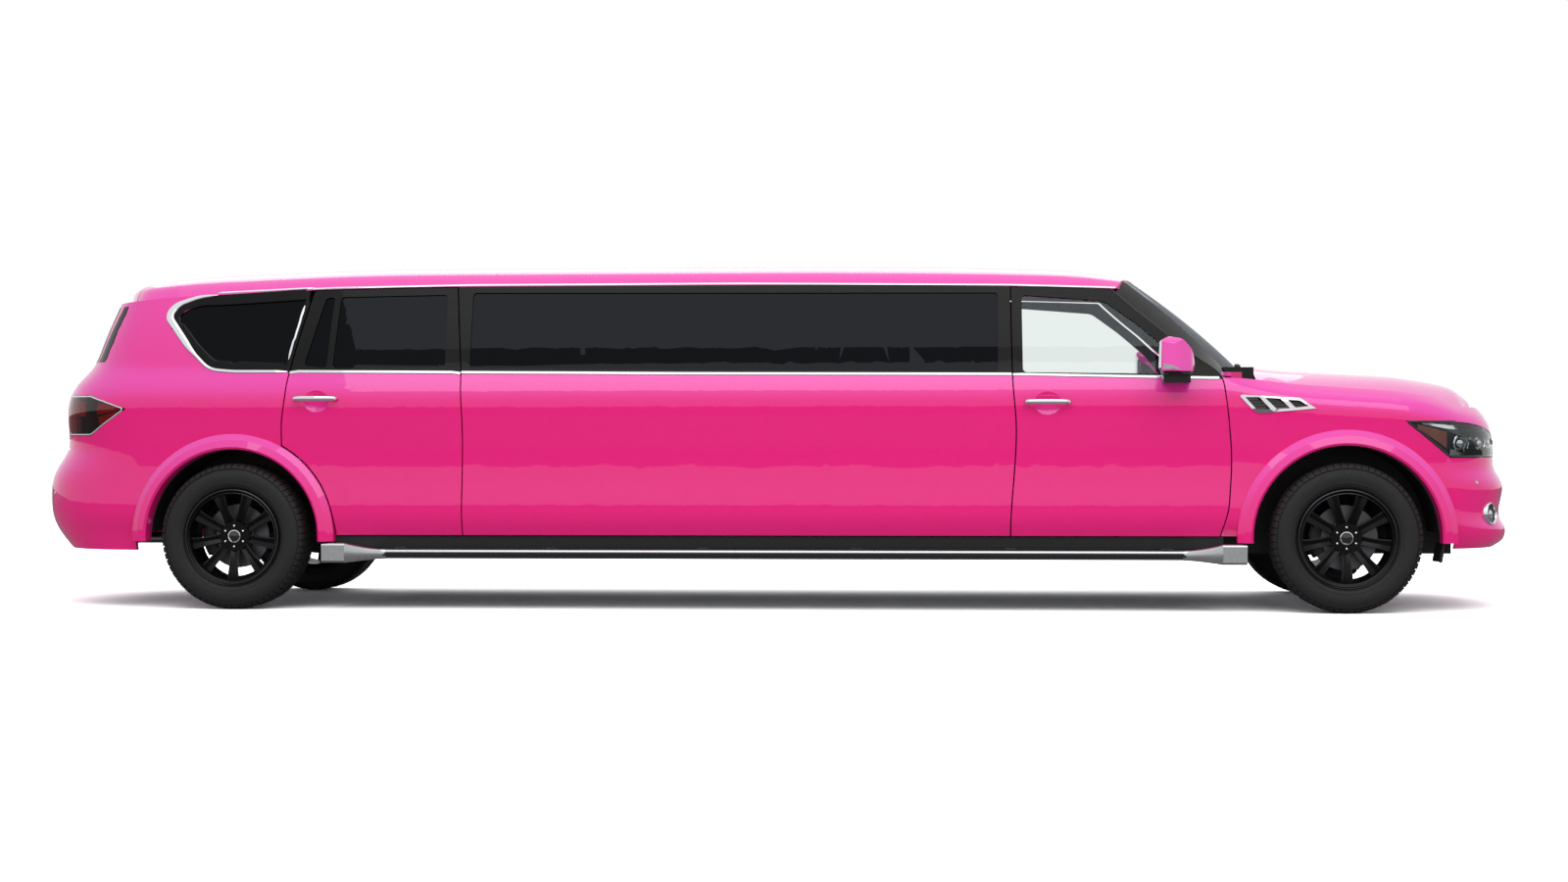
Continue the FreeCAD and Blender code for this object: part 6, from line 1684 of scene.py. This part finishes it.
@dataclass
class Seats:
    """Front seats and lounge benches made of simulated pads on plinths."""

    floor: float = 0.465
    base_height: float = 0.150
    plinth_start: float = 0.035
    depth: float = 0.520
    height: float = 0.330
    back_height: float = 0.640
    back_thickness: float = 0.140
    back_tilt: float = 90.0 - 6.0
    front_x: float = 1.533
    front_y: float = 0.400
    bench_end: float = 1.286
    bench_start: float = -1.662
    rear_bench_x: float = -2.189
    fill: float = 0.85

    def build(self) -> None:
        """Make both seat groups."""
        thick = self.height - self.base_height
        tall = self.back_height - self.height + 0.02
        cushion = Pad((0.520, 0.520, thick), (-0.12, 0.0, 0.12), (-0.185, 0.185)).build("cushion")
        back = Pad((tall + 0.16, 0.520, 0.140), (-0.13, 0.0, 0.13), (-0.185, 0.185)).build("back")
        rest = Pad((0.150, 0.250, 0.095), corner=0.030, voxel=0.009).build("rest")
        self.front(cushion, back, rest)
        cell = (self.bench_end - self.bench_start) / 4
        seat_pad, back_pad = (
            Pad(size, (), (-cell / 6, cell / 6), voxel=0.023).build(name)
            for name, size in (("lounge_cushion", (self.depth, cell, thick)),
                               ("lounge_back", (tall, cell, 0.130))))
        self.lounge(seat_pad, back_pad, cell)
        for made in (cushion, back, rest, seat_pad, back_pad):
            bpy.data.objects.remove(made)
        log.info("seats: done")

    def placed(self, pad: Piece, spot: Point, tilt: float, facing: float,
               stretch: float = 1.0) -> Piece:
        """Copy of a pad, tilted back about Y, turned to face a way, and put in its place."""
        data = pad.data.copy()
        data.transform(Matrix.Translation(spot) @ Matrix.Rotation(math.radians(facing), 4, "Z")
                       @ Matrix.Rotation(math.radians(tilt), 4, "Y")
                       @ Matrix.Diagonal((1.0, stretch, 1.0, 1.0)))
        return Forms.linked(pad.name + "_copy", data)

    def seat(self, cushion: Piece, back: Piece, x: float, y: float, facing: float,
             back_centre: float, stretch: float = 1.0) -> list:
        """Cushion and back whose common edge is at a place on the floor.

        Args:
            cushion: Pad of the seat.
            back: Pad of the back.
            x: Place along the car.
            y: Place across the car.
            facing: Degrees from the way to the front.
            back_centre: Height of the back's middle over the floor.
            stretch: How much wider both pads are made.

        Returns:
            Both copies.
        """
        turn = Matrix.Rotation(math.radians(facing), 3, "Z")
        low = self.floor + (self.base_height + self.height) / 2
        copies = []
        for pad, tilt, reach, z in (
                (cushion, 0.0, self.depth / 2, low),
                (back, self.back_tilt, -self.back_thickness / 2 + 0.008,
                 self.floor + back_centre)):
            spot = Vector((x, y, 0)) + turn @ Vector((reach, 0, z))
            copies.append(self.placed(pad, spot, tilt, facing, stretch))
        return copies

    def plinth(self, x0: float, y0: float, x1: float, y1: float) -> list:
        """Base under a seat with a toe recess."""
        z0, z1 = self.floor + self.plinth_start, self.floor + self.base_height + 0.012
        return [Forms.block("plinth", (x0, y0, z0), (x1, y1, z1), Finishes.trim, 0.012, 3),
                Forms.block("foot", (x0 + 0.02, y0 + 0.02, self.floor + 0.001),
                            (x1 - 0.02, y1 - 0.02, z0 + 0.004), Finishes.gloss_plastic, 0.004)]

    def front(self, cushion: Piece, back: Piece, rest: Piece) -> None:
        """Both front seats."""
        parts = []
        for side, _ in SIDES:
            y = side * self.front_y
            parts += self.seat(cushion, back, self.front_x, y, 0.0, 0.405)
            parts.append(self.placed(rest, (1.462, y, self.floor + 0.725), self.back_tilt, 0.0))
            for post in (-0.05, 0.05):
                parts.append(Forms.tube("post", [
                    (1.470, y + post, self.floor + 0.58), (1.463, y + post, self.floor + 0.70)],
                    0.006, Finishes.chrome, 12))
            parts += self.plinth(1.560, y - 0.225, 2.030, y + 0.225)
        fitted("front_seats_padded", parts, "vehicle", "front_seats")

    def lounge(self, cushion: Piece, back: Piece, cell: float) -> None:
        """Side bench of four places and rear bench of two."""
        parts = []
        for number in range(4):
            x = self.bench_start + cell * (number + 0.5)
            parts += self.seat(cushion, back, x, -0.640, 90.0, 0.470)
        parts += self.plinth(self.bench_start + 0.01, -0.760, self.bench_end - 0.01, -0.160)
        for side, _ in SIDES:
            parts += self.seat(cushion, back, self.rear_bench_x, side * 0.280, 0.0, 0.470,
                               0.560 / cell)
        parts += self.plinth(-2.300, -0.550, -1.700, 0.550)
        fitted("lounge_seats_padded", parts, "vehicle", "lounge_seats")


@dataclass
class Handles:
    """Chromed pull handles, swelled at the middle and tapered to their ends.

    A place is the end of the car, X and Z. The grip is a share of the length, shares of
    the half height and half depth, and how far it stands off the skin.
    """

    length: float = 0.255
    skin_depth: float = 0.048
    foot_share: float = 0.435
    places: tuple[tuple[str, float, float], ...] = (
        ("front", 1.6055, 1.145), ("rear", -2.437, 1.172))
    grip: tuple[tuple[float, float, float, float], ...] = (
        (-0.500, 0.30, 0.35, -0.006), (-0.490, 0.62, 0.60, 0.020), (-0.455, 0.84, 0.86, 0.031),
        (-0.380, 0.94, 1.00, 0.036), (-0.240, 1.00, 0.98, 0.040), (0.0, 1.02, 0.90, 0.0415),
        (0.240, 0.98, 0.94, 0.039), (0.380, 0.88, 0.98, 0.034), (0.455, 0.72, 0.80, 0.028),
        (0.490, 0.50, 0.52, 0.017), (0.500, 0.22, 0.30, -0.006))
    half_height: float = 0.0145
    half_depth: float = 0.0078

    def build(self) -> None:
        """Make the handles of all four doors."""
        for end, x, z in self.places:
            for side, word in SIDES:
                self.one(end, word, x, z, side)
        log.info("handles: done")

    def one(self, end: str, word: str, x: float, z: float, side: int) -> None:
        """Make one handle with its two feet."""
        node = end + "_handle_" + word
        reaches = [abs(v.co.y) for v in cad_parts[node].data.vertices]
        outer, inner = max(reaches), min(reaches)
        skin_y = outer - self.skin_depth
        rows = [[(x + share * self.length,
                  side * min(skin_y + off + self.half_depth * deep * math.cos(a), outer),
                  z + self.half_height * high * math.sin(a)) for a in angles(16)]
                for share, high, deep, off in self.grip]
        parts = [Forms.loft("grip", rows, Finishes.chrome, 60)]
        for way in (-1, 1):
            at = x + way * self.length * self.foot_share
            foot = [[(at + half * math.cos(a), side * y, z + half * 0.85 * math.sin(a))
                     for a in angles(16)]
                    for y, half in ((inner + 0.004, 0.010), (skin_y + 0.004, 0.0105),
                                    (skin_y + 0.018, 0.0120), (skin_y + 0.034, 0.0100))]
            parts.append(Forms.loft("foot", foot, Finishes.chrome, 60))
        fitted(node + "_chromed", parts, end + "_door_" + word, node)


@dataclass
class Cabin:
    """Door cards, cargo walls, ceiling lining, dashboard parts and the partition's frame."""

    skin: Skin
    dash_face: float = 2.206
    ceiling_half: float = 0.56
    partition_x: float = 1.2925
    rest_swell: Path = ((0.0, 0.35), (0.03, 0.75), (0.10, 1.0), (0.5, 1.0), (0.90, 1.0),
                        (0.97, 0.75), (1.0, 0.35))
    rest_section: Path = ((0, -0.040), (0.55, -0.036), (0.92, -0.012), (1.0, 0.012),
                          (0.86, 0.030), (0.4, 0.036), (0, 0.036))
    speaker: Path = ((0.0003, 0.0060), (0.060, 0.0085), (0.066, 0.0105), (0.074, 0.0105),
                     (0.078, 0.0040), (0.0003, 0.0030))
    dash_vent: Path = ((0.0003, 0.004), (0.026, 0.003), (0.031, 0.010), (0.037, 0.011),
                       (0.040, 0.004), (0.0400, -0.010), (0.0003, -0.010))
    dash_hood: Path = ((-1.0, 0.30), (-0.85, 0.75), (-0.5, 0.96), (0.0, 1.0), (0.5, 0.96),
                       (0.85, 0.75), (1.0, 0.30))
    vent_z: float = 0.985

    def build(self) -> None:
        """Make the cabin's fittings."""
        for side, word in SIDES:
            self.card("front_door_" + word, side, (1.480, 2.420), 1.640)
            self.card("rear_door_" + word, side, (-2.440, -1.700), -2.050)
            Patch("cargo_trim_" + word, "vehicle", "quarter_panels", Finishes.carpet,
                  run((-3.840, 1.325), (-2.700, 1.300), 20),
                  run((-3.800, 0.935), (-2.700, 0.935), 20), 0.004, 0.006, 90.0, (28, 10),
                  inside=True, slot="trim").build(self.skin, side)
        self.headlining("front", 1.720, 1.345)
        self.headlining("lounge", 1.275, -3.050)
        self.dash()
        self.partition()
        log.info("cabin: done")

    def card(self, door: str, side: int, span: tuple[float, float], middle: float) -> None:
        """Trim panel, armrest, pull and speaker on a door's inner face.

        Args:
            door: Packed door.
            side: Side of the car.
            span: First and last place of the panel along the car.
            middle: Place of the speaker along the car.
        """
        rear = door.startswith("rear")
        x0, x1 = span
        foot = (x0 + 0.29, x1 - 0.02) if rear else (x0 + 0.03, x1 - 0.03)
        Patch(door + "_card", door, door, Finishes.trim, run((x0, 1.245), (x1, 1.235), 20),
              run((foot[0], 0.520), (foot[1], 0.520), 20), 0.0035, 0.006, 90.0, (24, 16),
              inside=True, slot="trim").build(self.skin, side)
        if not rear:
            Patch(door + "_sail", door, door.replace("door", "door_glass"), Finishes.plastic,
                  run((2.222, 1.412), (2.262, 1.392), 8), run((2.212, 1.298), (2.356, 1.298), 8),
                  0.004, 0.006, 90.0, (12, 8), inside=True).build(self.skin, side)
        a, b = x0 + (0.22 if rear else 0.16), x1 - 0.16
        rows = []
        for share, swell in self.rest_swell:
            point, normal = self.inner(door, a + (b - a) * share, 0.880, side)
            rows.append([point + normal * (0.001 + 0.052 * swell * u)
                         + Vector((0, 0, v * swell)) for u, v in self.rest_section])
        line = []
        for k in range(9):
            point, normal = self.inner(door, (a + b) / 2 - 0.09 + 0.0225 * k, 1.050, side)
            line.append(point + normal * (0.006 + 0.034 * math.sin(math.pi * k / 8) ** 0.5))
        fitted(door + "_card_parts", [
            Forms.loft("rest", rows, Finishes.leather, 50),
            Forms.turned("speaker", self.speaker, self.inner(door, middle, 0.640, side)[0], 48,
                         (0, -side, 0), Finishes.plastic, 30),
            Forms.tube("pull", line, 0.008, Finishes.chrome, 12)], door)

    def inner(self, door: str, x: float, z: float, side: int) -> tuple[Vector, Vector]:
        """Point and normal on the inner face of a door."""
        return self.skin.cast(door, x, z, 90.0, side, True)

    def headlining(self, name: str, front: float, back: float) -> None:
        """Cloth-faced sheet under the roof, between two places along the car."""
        tree = self.skin.tree("roof")
        rows = []
        for x in steps(front, back, 40):
            row = [tree.ray_cast(Vector((x, self.ceiling_half * (k / 8 - 1), 1.45)),
                                 Vector((0, 0, 1)))[0] - Vector((0, 0, 0.003))
                   for k in range(17)]
            rows.append(row + [spot - Vector((0, 0, 0.004)) for spot in reversed(row)])
        name = "headlining_" + name
        fitted(name, [Forms.loft(name, rows, Finishes.headlining, 40)], "vehicle")

    def dash(self) -> None:
        """Instrument hood and display, middle screen, console and round vents."""
        x = self.dash_face
        hood = []
        for share, high in self.dash_hood:
            y, top = 0.400 + share * 0.170, 1.060 + 0.080 * high
            hood.append([(x - 0.050, y, top - 0.006), (x - 0.052, y, top),
                         (x - 0.020, y, top + 0.006), (x + 0.120, y, top - 0.004),
                         (x + 0.150, y, 1.055), (x + 0.010, y, 1.050)])
        parts = [Forms.loft("hood", hood, Finishes.trim, 50)]
        for name, low, high, finish, width, segments in (
                ("cluster", (-0.012, 0.268, 1.000), (0.010, 0.532, 1.105), Finishes.screen,
                 0.008, 3),
                ("screen", (-0.014, -0.115, 0.955), (0.010, 0.115, 1.075), Finishes.screen,
                 0.008, 3),
                ("console", (-0.420, -0.095, 0.468), (0.020, 0.095, 0.700), Finishes.trim,
                 0.030, 4)):
            parts.append(Forms.block(name, (x + low[0], *low[1:]), (x + high[0], *high[1:]),
                                     finish, width, segments))
        for y in (-0.68, -0.20, 0.20, 0.68):
            parts.append(Forms.turned("vent", self.dash_vent, (x, y, self.vent_z), 40,
                                      (-1, 0, 0), Finishes.chrome, 30))
            for row in (-0.016, 0.0, 0.016):
                half = math.sqrt(0.028 ** 2 - row ** 2)
                parts.append(Forms.tube("slat", [
                    (x - 0.008, y - half, self.vent_z + row),
                    (x - 0.008, y + half, self.vent_z + row)], 0.0022,
                    Finishes.gloss_plastic, 6))
        fitted("dashboard_parts", parts, "vehicle")

    def partition(self) -> None:
        """Bright frame and dark pane on the lounge side of the partition."""
        x = self.partition_x
        loop = rounded([(0.0, 0.86), (0.52, 0.86), (0.52, 1.30), (-0.52, 1.30),
                        (-0.52, 0.86), (0.0, 0.86)], 0.06)
        fitted("partition_window", [
            Forms.tube("frame", [(x - 0.004, y, z) for y, z in loop[:-1]], 0.0075,
                       Finishes.chrome, 8, closed=True),
            Forms.block("pane", (x - 0.003, -0.515, 0.865), (x + 0.002, 0.515, 1.295),
                        Finishes.screen, 0.001)], "vehicle")


@dataclass
class Studio:
    """Pale floor, soft lamps and the camera at the photograph's place.

    A lamp is its name, its place, its turn about X in degrees, and its power.
    """

    camera_place: tuple[float, float, float] = (1.2625, -14.837, 0.989)
    yaw_degrees: float = 4.513
    pitch_degrees: float = -0.226
    roll_degrees: float = 0.086
    lens_mm: float = 58.32
    sensor_mm: float = 36.0
    floor_half: float = 400
    floor_thickness: float = 0.02
    sky_strength: float = 0.66
    lamp_size: tuple[float, float] = (12.0, 5.0)
    lamp_places: tuple[tuple[str, Point, float, float], ...] = (
        ("key_lamp", (1.5, -7.0, 7.5), 43, 400.0), ("fill_lamp", (-1.5, 8.0, 6.0), -50, 200.0),
        ("top_lamp", (0.0, 0.0, 8.0), 0, 60.0))

    def build(self) -> None:
        """Set up the whole studio."""
        half = self.floor_half
        Forms.block("floor", (-half, -half, -self.floor_thickness), (half, half, 0.0),
                             Finishes.floor)
        self.world()
        self.lamps()
        self.camera()
        log.info("studio: done")

    def world(self) -> None:
        """Make a plain sky that is white to the camera and soft to the car."""
        world = bpy.data.worlds.new("studio")
        bpy.context.scene.world = world
        world.use_nodes = True
        tree = world.node_tree
        tree.nodes.clear()
        path = add_node(tree, "ShaderNodeLightPath")
        seen, soft = (
            add_node(tree, "ShaderNodeBackground", {"Color": linear(tone), "Strength": strength})
            for tone, strength in (("FFFFFF", 1.0), ("F2F4F8", self.sky_strength)))
        mixed = add_node(tree, "ShaderNodeMixShader", {}, {
            0: seen_rays(tree, path), 1: soft.outputs[0], 2: seen.outputs[0]})
        add_node(tree, "ShaderNodeOutputWorld", {}, {"Surface": mixed.outputs[0]})

    def lamps(self) -> None:
        """Hang large soft lamps over the car."""
        for name, place, turn, power in self.lamp_places:
            light = bpy.data.lights.new(name, "AREA")
            light.shape = "RECTANGLE"
            light.size, light.size_y = self.lamp_size
            light.energy = power
            made = Forms.linked(name, light)
            made.location = place
            made.rotation_euler = (math.radians(turn), 0, 0)

    def camera(self) -> None:
        """Put the camera where the photograph was taken."""
        data = bpy.data.cameras.new("camera")
        data.lens = self.lens_mm
        data.sensor_width = self.sensor_mm
        data.clip_end = 200
        made = Forms.linked("camera", data)
        yaw, pitch = math.radians(self.yaw_degrees), math.radians(self.pitch_degrees)
        way = Vector((-math.sin(yaw) * math.cos(pitch), math.cos(yaw) * math.cos(pitch),
                      math.sin(pitch)))
        turn = way.to_track_quat("-Z", "Y").to_matrix().to_4x4()
        turn = turn @ Matrix.Rotation(math.radians(-self.roll_degrees), 4, "Z")
        made.matrix_world = Matrix.Translation(self.camera_place) @ turn
        bpy.context.scene.camera = made
        bpy.context.scene.view_settings.view_transform = "Standard"


def main() -> None:
    """Build everything in order."""
    logging.basicConfig(level=logging.INFO, format="%(message)s")
    skin = Skin()
    Paintwork().build()
    BrightTrim(skin).build()
    Tyres().build()
    WheelDress().build()
    Headlamps(skin).build()
    TailLamps(skin).build()
    SideDetails(skin).build()
    EndDetails(skin).build()
    Handles().build()
    Cabin(skin).build()
    Seats().build()
    Studio().build()


if __name__ == "__main__":
    main()
